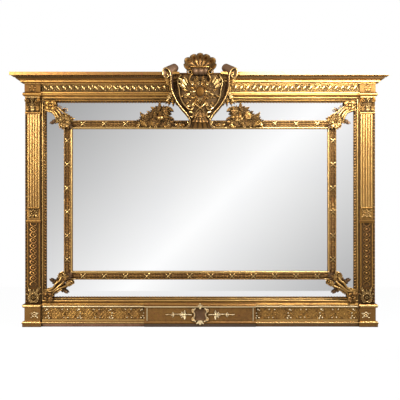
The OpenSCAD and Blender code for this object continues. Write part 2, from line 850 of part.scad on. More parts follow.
module architrave() {
    r = torus_h / 2;
    front = concat([[0, architrave_z]],
        [for (p = half_round(0, architrave_z, r, 8)) [p[0] * abacus_lip / r, p[1]]], [[0, frieze_z]]);
    color(bright_gilt) {
        run_x(concat([[carcass_d, architrave_z]], half_round(torus_d - r, architrave_z, r),
            [[carcass_d, frieze_z]]), -pilaster_in, pilaster_in);
        for (side = [left, right])
            on_side(side)
                difference() {
                    returned_block(front, pilaster_in, frame_x, abacus_d, 0.6, 1);
                    slab(0, frame_x, 0, top_z, -1, carcass_d);
                }
    }
}

module frieze_board() {
    ledge_d = frieze_d + 8;
    upper_z = cornice_z - frieze_ledge_h;
    lower_z = frieze_z + frieze_ledge_h + 4;
    section = concat(
        [[carcass_d, frieze_z], [ledge_d + 4, frieze_z], [ledge_d + 4, frieze_z + frieze_ledge_h],
            [frieze_d, lower_z]],
        bend([frieze_d, lower_z], [frieze_d - 4, (lower_z + upper_z) / 2], [frieze_d, upper_z]),
        [[ledge_d, upper_z], [ledge_d, cornice_z], [carcass_d, cornice_z]]);
    color(gilt) run_x(section, -pilaster_in, pilaster_in);
}

module frieze_block(side) {
    petal_count = 5;
    mid_z = frieze_z + frieze_h / 2;
    color(gilt) on_side(side) {
        slab(pilaster_in, frame_x, frieze_z, cornice_z, carcass_d, block_d);
        for (i = [0:petal_count - 1])
            turned(pilaster_mid + 11 * cos(72 * i + 90), mid_z + 11 * sin(72 * i + 90), block_d)
                cylinder(h = 4, r = 6);
        turned(pilaster_mid, mid_z, block_d) cylinder(h = 7, r = 5);
    }
}

egg_w = 22;
egg_gap_x = 150;
egg_t = 9;

module egg_row(side) {
    upper_z = cornice_z - frieze_ledge_h - 2;
    lower_z = frieze_z + frieze_ledge_h + 6;
    eggs = floor((pilaster_in - 8 - egg_gap_x) / egg_pitch);
    egg_r = egg_w / 2;
    color(bright_gilt) on_side(side) {
        relief(frieze_d, frieze_d + egg_t)
            for (i = [0:eggs - 1])
                translate([pilaster_in - 8 - egg_pitch * (i + 0.5), 0]) {
                    translate([0, upper_z - egg_r]) circle(r = egg_r);
                    translate([0, lower_z + egg_r]) circle(r = egg_r);
                    translate([-egg_r, lower_z + egg_r]) square([egg_w, upper_z - lower_z - egg_w]);
                }
        slab(pilaster_in - 8 - egg_pitch * eggs, pilaster_in - 8, lower_z + 4, lower_z + 8,
            frieze_d, frieze_d + 2);
    }
}

// Stand-out of the cornice, and the height of each point
cornice_out_points = let (
        hollow = cornice_z + cornice_hollow_h,
        fillet = hollow + cornice_fillet_h,
        cyma = fillet + cornice_cyma_h,
        cove = cyma + cornice_cove_h,
        fillet_out = 21,
        cyma_out = 44)
    concat([[2, cornice_z]],
        bend([2, cornice_z], [4, hollow], [fillet_out - 4, hollow]),
        [[fillet_out, hollow], [fillet_out, fillet]],
        bend([fillet_out, fillet], [cyma_out - 4, fillet + 1], [cyma_out, cyma]),
        bend([cyma_out, cyma], [cyma_out + 3, cove], [cornice_out - 5, cove]),
        [[cornice_out, cove], [cornice_out, top_z]]);

module cornice(side) {
    color(gilt) on_side(side)
        difference() {
            returned_block(cornice_out_points, crest_gap, frame_x, block_d, 0, 1);
            slab(0, frame_x, 0, top_z + 1, -1, carcass_d);
        }
}

// ---- Corner clasps ----

// A leaf that lies across the mirror's corner, from the outer mouldings to the slip
module clasp(side, z_corner, z_slip) {
    up = z_corner > z_slip ? 1 : -1;
    corner_x = sight_x - 4;
    slip_corner_x = slip_x1 - slip_w / 2;
    slip_corner_z = z_slip - up * slip_w / 2;
    run = [slip_corner_x - corner_x, slip_corner_z - z_corner + up * 4];
    clasp_l = norm(run);
    turn = atan2(run[1], run[0]);
    body_d0 = slip_d + 1;
    body_t = 9;
    color(gilt) on_side(side) {
        translate([corner_x, 0, z_corner - up * 4])
            relief(body_d0, body_d0 + body_t)
                rotate([0, 0, turn]) {
                    polygon(leaf_outline(clasp_l + 6, 44));
                    translate([clasp_l * 0.2, 0]) rotate([0, 0, 52]) polygon(leaf_outline(clasp_l * 0.34, 16));
                    translate([clasp_l * 0.2, 0]) rotate([0, 0, -52]) polygon(leaf_outline(clasp_l * 0.34, 16));
                    translate([clasp_l * 0.5, 0]) rotate([0, 0, 62]) polygon(leaf_outline(clasp_l * 0.36, 15));
                    translate([clasp_l * 0.5, 0]) rotate([0, 0, -62]) polygon(leaf_outline(clasp_l * 0.36, 15));
                    translate([clasp_l - 8, -20]) square([22, 40]);
                }
        // The heel that carries the clasp on the plates, clear of the slip
        translate([corner_x, 0, z_corner - up * 4])
            relief(plate_front_d, body_d0)
                rotate([0, 0, turn])
                    translate([clasp_l * 0.2, -12]) square([clasp_l * 0.32, 24]);
    }
}

// ---- Crest ----

// Outline of the shield, drawn in by inset
function shield_points(inset) = let (
        foot = [58 - inset, waist_z + inset],
        hip = [96 - inset, waist_z + 66 + inset * 0.6],
        flank = [157 - inset, waist_z + 179],
        shoulder = [150 - inset, top_z - 17 - inset],
        right_half = concat([foot],
            bend(foot, [60 - inset, waist_z + 41 + inset], hip),
            bend(hip, [150 - inset, waist_z + 106], flank),
            bend(flank, [161 - inset, waist_z + 221], shoulder)))
    concat(right_half, [for (i = [len(right_half) - 1:-1:0]) [-right_half[i][0], right_half[i][1]]]);

shield_floor_d = 128;
crest_core_d = shield_floor_d - 8;
crest_front_d = crest_body_d + 22;
strap_t_crest = 12;
cabochon_z = architrave_z + 30;
shield_back_d = max(torus_d, sill_fillet_d) + 8;

module crest_cartouche() {
    leaf_count = 11;
    volute_t = overall_d - crest_front_d + 2;
    leaf_top_z = top_z - 40;
    color(gilt) {
        // Core that fills the gap in the cornice, seated on the frieze
        slab(-crest_gap + 0.5, crest_gap - 0.5, cornice_z + 0.5, top_z - 3, crest_back_d, crest_core_d);
        // Body of the shield, hollowed inside its standing strap
        difference() {
            relief(shield_back_d, crest_front_d)
                intersection() {
                    polygon(shield_points(0));
                    translate([-200, 0]) square([400, cornice_z - 2]);
                }
            relief(shield_floor_d, crest_front_d + 1) polygon(shield_points(strap_t_crest));
        }
        // Bearers that seat the shield on the frieze and on the slip
        slab(-90, 90, frieze_z + 12, cornice_z - 8, frieze_d, shield_back_d + 1);
        for (side = [left, right])
            on_side(side) {
                // Strap between the shield and its roll, in front of the cornice
                relief(crest_front_d - 2, crest_front_d + 6)
                    polygon([[157, cornice_z - 26], [159, cornice_z + 26], [192, top_z + 19],
                        [146, top_z + 47], [110, top_z - 6], [138, cornice_z - 26]]);
                // Volute with its eye
                turned(175, top_z - 14, crest_front_d - 2) {
                    difference() {
                        cylinder(h = volute_t - 2, r = 32);
                        translate([0, 0, 6]) cylinder(h = volute_t, r = 25);
                    }
                    cylinder(h = volute_t, r = 12);
                }
                // Hanging leaf under the volute
                relief(crest_front_d - 2, crest_front_d + 6)
                    translate([186, top_z - 38]) rotate([0, 0, -112]) polygon(leaf_outline(46, 12));
                // Leaf below the shield's flank
                relief(shield_back_d, shield_back_d + 12)
                    translate([140, architrave_z + 24]) rotate([0, 0, -66]) polygon(leaf_outline(58, 22));
            }
        // Leaves round the oval cabochon
        translate([0, 0, cabochon_z])
            relief(shield_floor_d, shield_floor_d + 26)
                intersection() {
                    union()
                        for (i = [0:leaf_count - 1])
                            rotate([0, 0, -90 + 360 * i / leaf_count]) polygon(leaf_outline(88, 30));
                    translate([-150, -150]) square([300, 150 + leaf_top_z - cabochon_z]);
                }
        intersection() {
            turned(0, cabochon_z, shield_floor_d) scale([0.72, 1, 0.9]) sphere(r = 44, $fn = 28);
            slab(-50, 50, 0, top_z, shield_floor_d - 6, overall_d);
        }
        // Waist knot and fluted foot
        slab(-40, 40, waist_z - 14, waist_z + 30, slip_d + 1, shield_floor_d + 20);
        difference() {
            run_z([[-46, slip_d + 1], [46, slip_d + 1], [46, slip_d + 26], [0, slip_d + 34], [-46, slip_d + 26]],
                crest_foot_z, waist_z + 10);
            for (x = [-30, -10, 10, 30])
                translate([x, back_y - slip_d - 33, crest_foot_z - 1])
                    cylinder(h = waist_z - crest_foot_z - 8, r = 6);
        }
        for (side = [left, right])
            on_side(side)
                turned(60, crest_foot_z + 18, slip_d + 1) cylinder(h = 16, r = 18);
    }
}

// A ball-ended bar between two points given as X, height and depth from the wall
module ball_bar(a, ra, b, rb) {
    hull() {
        translate([a[0], back_y - a[2], a[1]]) sphere(r = ra, $fn = 16);
        translate([b[0], back_y - b[2], b[1]]) sphere(r = rb, $fn = 16);
    }
}

module crest_shell() {
    lobe_count = 7;
    lobe_step = 26;
    lobe_r = 16;
    ray_r = 8;
    neck_z = top_z - 12;
    neck_r = 24;
    seat_d = crest_core_d;
    hinge_z = shell_hinge_z - 14;
    hinge_d = seat_d + 22;
    neck_d = seat_d + neck_r;
    rim_d = hinge_d + 14;
    color(dark_gilt)
        difference() {
            union() {
                for (i = [0:lobe_count - 1])
                    let (a = (i - (lobe_count - 1) / 2) * lobe_step, l = 74 + 6 * abs(a) / 78)
                        ball_bar([0, hinge_z, hinge_d], ray_r,
                            [l * sin(a), hinge_z + l * cos(a), rim_d - 12 * cos(a)], lobe_r);
                ball_bar([-36, hinge_z + 8, hinge_d + 14], ray_r, [36, hinge_z + 8, hinge_d + 14], ray_r);
                ball_bar([-26, neck_z, neck_d], neck_r, [26, neck_z, neck_d], neck_r);
                ball_bar([-20, neck_z, neck_d], neck_r - 4, [0, hinge_z, hinge_d], neck_r - 4);
                ball_bar([20, neck_z, neck_d], neck_r - 4, [0, hinge_z, hinge_d], neck_r - 4);
                for (side = [left, right])
                    ball_bar([side * 46, neck_z + 8, neck_d - 8], 13, [side * 44, neck_z - 22, neck_d - 10], 9);
            }
            slab(-150, 150, 0, 2 * top_z, 0, seat_d);
        }
}

// A spray of leaves and flowers that rises from the slip beside the crest
module spray(side) {
    foot_z = slip_z1 - slip_w + slip_bead_w + 2;
    seat_z = slip_z1 + 0.5;
    body_d0 = slip_d + 1;
    body_t = 10;
    tip_z = sight_z1 - 4;
    // Place, lean and length of each leaf that stands out of the mass
    leaves = [[182, seat_z + 46, 192, 42], [190, tip_z - 22, 186, 32], [224, seat_z + 64, 52, 30],
        [240, seat_z + 50, 38, 32], [286, seat_z + 24, 12, 46], [314, seat_z + 4, 5, 54]];
    color(dark_gilt) on_side(side) {
        relief(body_d0, body_d0 + body_t) {
            polygon(concat([[178, foot_z]],
                bend([178, foot_z], [196, seat_z + 8], [172, tip_z - 36]),
                [[180, tip_z], [206, tip_z - 8]],
                bend([206, tip_z - 8], [276, seat_z + 56], [318, seat_z + 10]),
                bend([318, seat_z + 10], [340, seat_z], [384, foot_z + 8]),
                [[384, foot_z]]));
            for (leaf = leaves)
                translate([leaf[0], leaf[1]]) rotate([0, 0, leaf[2]]) polygon(leaf_outline(leaf[3], 12));
        }
        // Back of the spray behind the slip's face, standing on the slip's outer edge
        relief(plate_front_d + slip_edge_t - 6, body_d0)
            polygon([[200, seat_z], [290, seat_z], [250, seat_z + 40], [206, seat_z + 60]]);
        turned(223, seat_z + 14, body_d0 + body_t - 6) sphere(r = 22, $fn = 32);
        turned(262, seat_z + 26, body_d0) cylinder(h = body_t + 8, r1 = 18, r2 = 8);
        turned(200, tip_z - 40, body_d0) cylinder(h = body_t + 6, r1 = 18, r2 = 10);
    }
}

stile(left);  // stile_left
stile(right);  // stile_right
top_rail();
bottom_rail();
backboards();
hanger_rail();
lower_batten();
strap_hanger(left);  // strap_hanger_left
strap_hanger(right);  // strap_hanger_right
hanger_ring(left);  // hanger_ring_left
hanger_ring(right);  // hanger_ring_right
hanger_screws();
plate_main();
plate_top();
plate_bottom();
plate_side(left);  // plate_left
plate_side(right);  // plate_right
slip_top();
slip_bottom();
slip_side(left);  // slip_left
slip_side(right);  // slip_right
sight_top();
sill();
sight_side(left);  // sight_left
sight_side(right);  // sight_right
pilaster(left);  // pilaster_left
pilaster(right);  // pilaster_right
reeding(left);  // reeding_left
reeding(right);  // reeding_right
capital(left);  // capital_left
capital(right);  // capital_right
boss(left);  // boss_left
boss(right);  // boss_right
panel(left);  // panel_left
panel(right);  // panel_right
plinth(left);  // plinth_left
plinth(right);  // plinth_right
architrave();
frieze_board();
frieze_block(left);  // frieze_block_left
frieze_block(right);  // frieze_block_right
egg_row(left);  // egg_row_left
egg_row(right);  // egg_row_right
cornice(left);  // cornice_left
cornice(right);  // cornice_right
dust_board();
base_frieze();
base_moulding();
centre_tablet();
tablet_cartouche();
clasp(left, sight_z1, slip_z1);  // clasp_top_left
clasp(right, sight_z1, slip_z1);  // clasp_top_right
clasp(left, sight_z0, slip_z0);  // clasp_bottom_left
clasp(right, sight_z0, slip_z0);  // clasp_bottom_right
crest_cartouche();
crest_shell();
spray(left);  // spray_left
spray(right);  // spray_right
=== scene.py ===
"""The visual model of a gilt overmantel mirror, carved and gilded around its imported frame.

Carvings are drawn in millimetres as X, stand-off from the wall, and height above the shelf. A finished piece
is turned into metres in the frame's own axes, where the mirror faces -Y.
"""

import logging
import math
from collections.abc import Callable, Iterable, Sequence
from dataclasses import dataclass
from enum import Enum

import bpy
import numpy as np
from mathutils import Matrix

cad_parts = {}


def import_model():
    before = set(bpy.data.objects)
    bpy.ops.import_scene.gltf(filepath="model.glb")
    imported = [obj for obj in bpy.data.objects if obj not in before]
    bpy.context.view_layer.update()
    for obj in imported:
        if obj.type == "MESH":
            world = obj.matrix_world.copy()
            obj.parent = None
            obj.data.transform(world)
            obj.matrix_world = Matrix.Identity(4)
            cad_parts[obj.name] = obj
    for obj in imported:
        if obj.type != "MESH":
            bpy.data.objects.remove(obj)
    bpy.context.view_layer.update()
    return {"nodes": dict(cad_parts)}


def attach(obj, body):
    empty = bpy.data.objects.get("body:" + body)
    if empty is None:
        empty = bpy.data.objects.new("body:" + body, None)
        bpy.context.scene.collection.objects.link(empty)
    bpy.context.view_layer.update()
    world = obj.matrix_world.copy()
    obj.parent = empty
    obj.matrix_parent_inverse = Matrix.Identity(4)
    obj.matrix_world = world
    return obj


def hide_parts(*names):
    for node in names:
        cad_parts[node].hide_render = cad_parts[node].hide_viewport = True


LOG = logging.getLogger("overmantel")

MM = 0.001
BACK_Y = 94.0
ROOT = "frame"
# Name of the point attribute by which the gilding darkens: partly a dark brown wash in the hollows, partly
# painted shade.
RECESS = "recess"
SIDES = (-1, 1)
WORDS = ("left", "right")
# Recess of the bed of a sight moulding, next to the glass: painted shade in the gap.
SHADED_BED = (1.0, 1.0, 1.0, 1.0, 0.7)
# Recess of the half of each tube that faces the wall: painted shade where it meets the ground.
WALL_SIDE_SHADE = 0.7

Colour = tuple[float, float, float]
Point = tuple[float, float, float]
Flat = tuple[float, float]
Nodes = dict[str, bpy.types.Object]
Socket = bpy.types.NodeSocket


class Slot(Enum):
    """The record's material slots."""

    GILT = "gilt_wood"
    BRIGHT = "bright_gilt"
    DARK = "dark_gilt"


# ---- Carving ----


def smooth(x: np.ndarray | float, low: float, high: float) -> np.ndarray | float:
    """Returns 0 below low, 1 above high, and a soft step between."""
    t = np.clip((x - low) / (high - low), 0.0, 1.0)
    return t * t * (3 - 2 * t)


def bend(a: Flat, c: Flat, b: Flat, steps: int = 8) -> list[Flat]:
    """Returns a curve from a to b that is pulled towards c, without its first point."""
    found = []
    for i in range(1, steps + 1):
        t = i / steps
        found.append(tuple((1 - t) ** 2 * p + 2 * t * (1 - t) * q + t * t * r for p, q, r in zip(a, c, b)))
    return found


def oblong(d0: float, d1: float, a: float, b: float) -> list[Flat]:
    """Returns a square-edged section from stand-off d0 to d1, and from a to b."""
    return [(d0, a), (d1, a), (d1, b), (d0, b)]


def fillet(d0: float, d1: float, a: float, b: float) -> list[Flat]:
    """Returns the same section with its front edges eased."""
    return [(d0, a), (d1 - 0.8, a), (d1, a + 1), (d1, b - 1), (d1 - 0.8, b), (d0, b)]


def half_round(d: float, z: float, r: float, steps: int = 12) -> list[Flat]:
    """Returns a half-round that stands out by r from d, over the height z to z + 2 r."""
    turns = [math.radians(-90 + 180 * i / steps) for i in range(steps + 1)]
    return [(d + r * math.cos(a), z + r + r * math.sin(a)) for a in turns]


def curve_through(points: Sequence[Sequence[float]], steps: int = 8) -> np.ndarray:
    """Returns a smooth curve through the points, as a Catmull-Rom spline.

    Args:
        points: What the curve passes, at least two.
        steps: Stretches between two points.

    Returns:
        The curve's points, one row each.
    """
    p = np.asarray(points, float)
    p = np.vstack([2 * p[0] - p[1], p, 2 * p[-1] - p[-2]])
    t = np.linspace(0, 1, steps, endpoint=False)[:, None]
    found = []
    for a, b, c, d in zip(p[:-3], p[1:-2], p[2:-1], p[3:]):
        found.append(
            0.5 * (2 * b + (c - a) * t + (2 * a - 5 * b + 4 * c - d) * t**2 + (3 * b - a - 3 * c + d) * t**3)
        )
    return np.vstack([*found, p[-2:-1]])


def grid(x: object, d: object, z: object, low: object) -> tuple[np.ndarray, np.ndarray]:
    """Spreads a sheet's X, stand-off, height and recess over all its rows and columns.

    Args:
        x: X of the points, as anything that spreads over the grid.
        d: Stand-off.
        z: Height.
        low: How deep each point lies, from 0 to 1.

    Returns:
        The grid of points, and the depth of each.
    """
    top = np.stack(np.broadcast_arrays(x, d, z), -1)
    return top, np.broadcast_to(low, top.shape[:2])


def numbered(rows: int, cols: int) -> tuple[np.ndarray, np.ndarray]:
    """Returns the corner numbers of a grid, and those round its rim."""
    index = np.arange(rows * cols).reshape(rows, cols)
    return index, np.concatenate([index[:-1, 0], index[-1, :-1], index[:0:-1, -1], index[0, :0:-1]])


def wrapped(index: np.ndarray) -> np.ndarray:
    """Returns corner numbers with the first column again at the end, so that the grid closes."""
    return np.concatenate([index, index[:, :1]], 1)


class Carving:
    """The closed patches of one piece, in millimetres: X, stand-off from the wall, height."""

    def __init__(self) -> None:
        """Starts an empty piece."""
        self.points: list[np.ndarray] = []
        self.recess: list[np.ndarray] = []
        self.faces: list[np.ndarray] = []
        self.count = 0

    def patch(self, points: np.ndarray, faces: list[np.ndarray], recess: np.ndarray) -> None:
        """Adds one closed patch and turns its faces outwards.

        Args:
            points: One row for each corner.
            faces: Arrays of corner numbers, one row for each face.
            recess: How deep each corner lies, from 0, in the open, to 1.
        """
        centred = points - points.mean(0)
        volume = 0.0
        for rows in faces:
            first = centred[rows[:, 0]]
            for k in range(1, rows.shape[1] - 1):
                across = np.cross(centred[rows[:, k]], centred[rows[:, k + 1]])
                volume += float(np.einsum("ij,ij->", first, across))
        if volume > 0:  # stand-off runs against Y, so outward faces turn the other way round here
            faces = [rows[:, ::-1] for rows in faces]
        self.points.append(points)
        self.recess.append(np.clip(recess, 0, 1))
        self.faces += [rows + self.count for rows in faces]
        self.count += len(points)

    def relief(self, top: np.ndarray, recess: np.ndarray, floor: float) -> None:
        """Adds a carved sheet that is closed by straight walls and a flat back.

        Args:
            top: The sheet's grid of points.
            recess: Depth of each point of the grid.
            floor: Stand-off of the back.
        """
        index, rim = numbered(*top.shape[:2])
        self._close(top, recess, index, rim, floor, ())

    def disc(self, top: np.ndarray, recess: np.ndarray, floor: float) -> None:
        """Adds a round relief: rings from the middle outwards, each a closed turn, over a flat back."""
        index, _ = numbered(*top.shape[:2])
        self._close(top, recess, wrapped(index), index[-1], floor, (index[:1],))

    def _close(
        self,
        top: np.ndarray,
        recess: np.ndarray,
        index: np.ndarray,
        rim: np.ndarray,
        floor: float,
        caps: Iterable[np.ndarray],
    ) -> None:
        """Adds a grid with its walls and flat back."""
        flat = top.reshape(-1, 3)
        base = flat[rim].copy()
        base[:, 1] = floor
        ring = len(flat) + np.arange(len(rim))
        walls = np.stack([np.roll(rim, -1), rim, ring, np.roll(ring, -1)], -1)
        faces = [quads(index), walls, ring[None, ::-1], *caps]
        # The walls and the back lie at a recess of 0.9: painted shade down the sides.
        self.patch(np.vstack([flat, base]), faces, np.concatenate([recess.ravel(), np.full(len(rim), 0.9)]))

    def leaf_sheet(self, top: np.ndarray, recess: np.ndarray, thick: float) -> None:
        """Adds a thin sheet with a back of its own, set behind it by thick."""
        self._skin(top, top - np.array([0.0, thick, 0.0]), recess)

    def _skin(self, top: np.ndarray, back: np.ndarray, recess: np.ndarray) -> None:
        """Adds a closed sheet between a front grid and a back grid."""
        index, rim = numbered(*top.shape[:2])
        under = rim + index.size
        walls = np.stack([np.roll(rim, -1), rim, under, np.roll(under, -1)], -1)
        faces = [quads(index), quads(index + index.size)[:, ::-1], walls]
        self.patch(np.vstack([top.reshape(-1, 3), back.reshape(-1, 3)]), faces, np.tile(recess.ravel(), 2))

    def _sleeve(self, rings: np.ndarray, recess: np.ndarray) -> None:
        """Adds rings of points that follow one another, with a cap on each end."""
        index, _ = numbered(*rings.shape[:2])
        self.patch(rings.reshape(-1, 3), [quads(wrapped(index)), index[:1], index[-1:, ::-1]], recess.ravel())

    def tube(
        self,
        path: np.ndarray,
        across: np.ndarray | float,
        deep: np.ndarray | float,
        sides: int = 10,
        square: float = 1.0,
    ) -> None:
        """Sweeps a rounded section along a path.

        Args:
            path: Points along the path, as rows of X, stand-off and height.
            across: Half-width in the drawing's plane, for each point or for all.
            deep: Half-depth towards the room, for each point or for all.
            sides: Corners of the section.
            square: 1 for a round section, and less for a squarer one.
        """
        path = np.asarray(path, float)
        n = len(path)
        across = np.broadcast_to(np.asarray(across, float), (n,))
        deep = np.broadcast_to(np.asarray(deep, float), (n,))
        along = np.gradient(path, axis=0)
        side = np.stack([-along[:, 2], np.zeros(n), along[:, 0]], -1)
        side /= np.maximum(np.linalg.norm(side, axis=1, keepdims=True), 1e-9)
        a = np.linspace(0, 2 * math.pi, sides, endpoint=False)
        c = np.sign(np.cos(a)) * np.abs(np.cos(a)) ** square
        s = np.sign(np.sin(a)) * np.abs(np.sin(a)) ** square
        out = np.array([0.0, 1.0, 0.0])
        rings = (
            path[:, None, :]
            + side[:, None, :] * (across[:, None] * c[None, :])[..., None]
            + out * (deep[:, None] * s[None, :])[..., None]
        )
        # The half towards the wall is darkened: painted shade.
        self._sleeve(rings, np.broadcast_to(WALL_SIDE_SHADE * np.clip(-s, 0, 1), (n, sides)))

    def scroll(
        self,
        x: float,
        d: np.ndarray | float,
        z: float,
        radii: Flat,
        start: float,
        turns: float,
        steps: int,
        across: np.ndarray | float,
        deep: np.ndarray | float,
        sides: int = 8,
    ) -> None:
        """Winds a tube into a scroll.

        Args:
            x: Its centre.
            d: Stand-off, for each point or for all.
            z: The centre's height.
            radii: Radius at the start and at the end.
            start: Direction of the first point, in degrees.
            turns: Turns, positive anticlockwise.
            steps: Stretches along it.
            across: Half-width in the drawing's plane.
            deep: Half-depth towards the room.
            sides: Corners of the section.
        """
        t = np.linspace(0, 1, steps + 1)
        a = math.radians(start) + 2 * math.pi * turns * t
        r = radii[0] + (radii[1] - radii[0]) * t**0.8
        path = np.stack(np.broadcast_arrays(x + r * np.cos(a), d, z + r * np.sin(a)), -1)
        self.tube(path, across, deep, sides)

    def ball(self, x: float, d: float, z: float, r: Point, rings: int = 8, sides: int = 12) -> None:
        """Adds a ball, or an egg with a radius for each direction: X, stand-off and height."""
        a = np.linspace(0.02, math.pi - 0.02, rings + 1)[:, None]
        b = np.linspace(0, 2 * math.pi, sides, endpoint=False)[None, :]
        # The half towards the wall is darker: painted shade.
        self._sleeve(
            *grid(
                x + r[0] * np.sin(a) * np.cos(b),
                d + r[1] * np.cos(a),
                z + r[2] * np.sin(a) * np.sin(b),
                smooth(a, 1.1, 1.9),
            )
        )

    def band(self, front: np.ndarray, back: np.ndarray, thick: float, across: int) -> None:
        """Adds a strap between two edges, as a sheet of even thickness.

        Args:
            front: Points of the front edge.
            back: Points of the back edge, as many.
            thick: Thickness, laid on the side that the sheet's normals leave.
            across: Stretches from edge to edge.
        """
        t = np.linspace(0, 1, across + 1)[None, :, None]
        top = front[:, None, :] * (1 - t) + back[:, None, :] * t
        along, over = np.gradient(top, axis=0), np.gradient(top, axis=1)
        out = np.cross(along, over)
        out /= np.maximum(np.linalg.norm(out, axis=2, keepdims=True), 1e-9)
        self._skin(top, top - thick * out, np.zeros(top.shape[:2]))

    def bar(
        self,
        section: Sequence[Flat],
        x0: float,
        x1: float,
        upright: bool = False,
        recess: float | Sequence[float] = 0.0,
    ) -> None:
        """Adds a straight moulding.

        Args:
            section: Corners of the section, as stand-off and height, or stand-off and X if upright.
            x0: Where it starts.
            x1: Where it ends.
            upright: True if it runs along the height.
            recess: Depth of all corners of the section, or of the first ones, with 0 for the rest.
        """
        s = np.asarray(section, float)
        n = len(s)
        ends = []
        for at in (x0, x1):
            run = np.full(n, at)
            ends.append(np.stack([s[:, 1], s[:, 0], run] if upright else [run, s[:, 0], s[:, 1]], -1))
        one = np.arange(n)
        walls = np.stack([one, np.roll(one, -1), np.roll(one, -1) + n, one + n], -1)
        low = np.full(n, recess) if np.isscalar(recess) else np.pad(recess, (0, n - len(recess)))
        self.patch(np.vstack(ends), [walls, one[None, ::-1], one[None] + n], np.tile(low, 2))

    def block(
        self, x0: float, x1: float, z0: float, z1: float, d0: float, d1: float, ease: float = 1.0
    ) -> None:
        """Adds a block with eased front edges."""
        top = [(d0, z0), (d1 - ease, z0), (d1, z0 + ease), (d1, z1 - ease), (d1 - ease, z1), (d0, z1)]
        self.bar(top, x0, x1)

    def add(self, other: "Carving", places: Iterable[tuple[np.ndarray, np.ndarray]]) -> None:
        """Adds a copy of another carving at each place, given as a matrix and a shift."""
        if not other.points:
            return
        points, recess = np.vstack(other.points), np.concatenate(other.recess)
        for matrix, shift in places:
            self.points.append(points @ matrix.T + shift)
            self.recess.append(recess)
            flip = np.linalg.det(matrix) < 0
            self.faces += [(rows[:, ::-1] if flip else rows) + self.count for rows in other.faces]
            self.count += len(points)

    def put(self, other: "Carving", *spot: float, **ways: float) -> None:
        """Adds one copy of another carving, at a place that is given as for place."""
        self.add(other, [place(*spot, **ways)])

    def mirrored(self) -> "Carving":
        """Returns the same carving for the other side."""
        found = Carving()
        found.add(self, [(np.diag([-1.0, 1.0, 1.0]), np.zeros(3))])
        return found

    def build(self, name: str, slot: Slot, finish: bpy.types.Material, *nodes: str) -> None:
        """Makes the piece's object, in metres.

        Args:
            name: The object's name.
            slot: The record's slot; not used.
            finish: Its material.
            *nodes: CAD nodes that it stands for.
        """
        points = np.vstack(self.points)
        world = np.stack([points[:, 0], BACK_Y - points[:, 1], points[:, 2]], -1) * MM
        mesh = bpy.data.meshes.new(name)
        mesh.vertices.add(len(world))
        mesh.vertices.foreach_set("co", world.astype(np.float32).ravel())
        loops = np.concatenate([rows.ravel() for rows in self.faces])
        totals = np.concatenate([np.full(len(rows), rows.shape[1]) for rows in self.faces])
        mesh.loops.add(len(loops))
        mesh.loops.foreach_set("vertex_index", loops.astype(np.int32))
        mesh.polygons.add(len(totals))
        mesh.polygons.foreach_set("loop_start", (np.cumsum(totals) - totals).astype(np.int32))
        mesh.polygons.foreach_set("use_smooth", np.ones(len(totals), bool))
        mesh.update(calc_edges=True)
        mesh.set_sharp_from_angle(angle=math.radians(46))
        # Each point's recess is stored here, and the material darkens the leaf by it: partly wash, partly
        # painted shade.
        depth = mesh.attributes.new(RECESS, "FLOAT", "POINT")
        depth.data.foreach_set("value", np.concatenate(self.recess).astype(np.float32))
        mesh.materials.append(finish)
        piece = bpy.data.objects.new(name, mesh)
        bpy.context.scene.collection.objects.link(piece)
        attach(piece, ROOT)
        if nodes:
            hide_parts(*nodes)
        LOG.info("%s: %d faces", name, len(totals))


def bars(*runs: tuple) -> Carving:
    """Returns a carving of straight mouldings, each given as what Carving.bar takes."""
    found = Carving()
    for run in runs:
        found.bar(*run)
    return found


def sided(carving: Carving, word: str) -> Carving:
    """Returns a carving that was drawn for the right as it is on that side of the mirror."""
    return carving if word == "right" else carving.mirrored()


def build_pairs(pieces: Sequence[tuple]) -> None:
    """Builds pieces on the left and on the right.

    Args:
        pieces: For each its name without the side, the carving of the right-hand one, its slot and finish,
            and the CAD node that it stands for, if any, with {} where the side goes.
    """
    for word in WORDS:
        for name, carving, slot, finish, *nodes in pieces:
            sided(carving, word).build(f"{name}_{word}", slot, finish, *(node.format(word) for node in nodes))


def quads(index: np.ndarray) -> np.ndarray:
    """Returns the four corners of each cell of a grid of corner numbers."""
    return np.stack([index[:-1, :-1], index[1:, :-1], index[1:, 1:], index[:-1, 1:]], -1).reshape(-1, 4)


def place(
    x: float, d: float, z: float, turn: float = 0.0, lean: float = 0.0, size: float = 1.0, flip: bool = False
) -> tuple:
    """Returns the matrix and shift that set a carving down.

    Args:
        x: Where its origin goes.
        d: Stand-off of its origin.
        z: Height of its origin.
        turn: Direction of its length in the drawing's plane, in degrees.
        lean: How far its tip is lifted towards the room, in degrees.
        size: Scale.
        flip: True to turn over its left and right.

    Returns:
        The 3 by 3 matrix, and the shift.
    """
    a, b = math.radians(turn), math.radians(lean)
    tip = np.array([[math.cos(b), -math.sin(b), 0], [math.sin(b), math.cos(b), 0], [0, 0, -1 if flip else 1]])
    spin = np.array([[math.cos(a), 0, -math.sin(a)], [0, 1, 0], [math.sin(a), 0, math.cos(a)]])
    return spin @ tip * size, np.array([x, d, z])


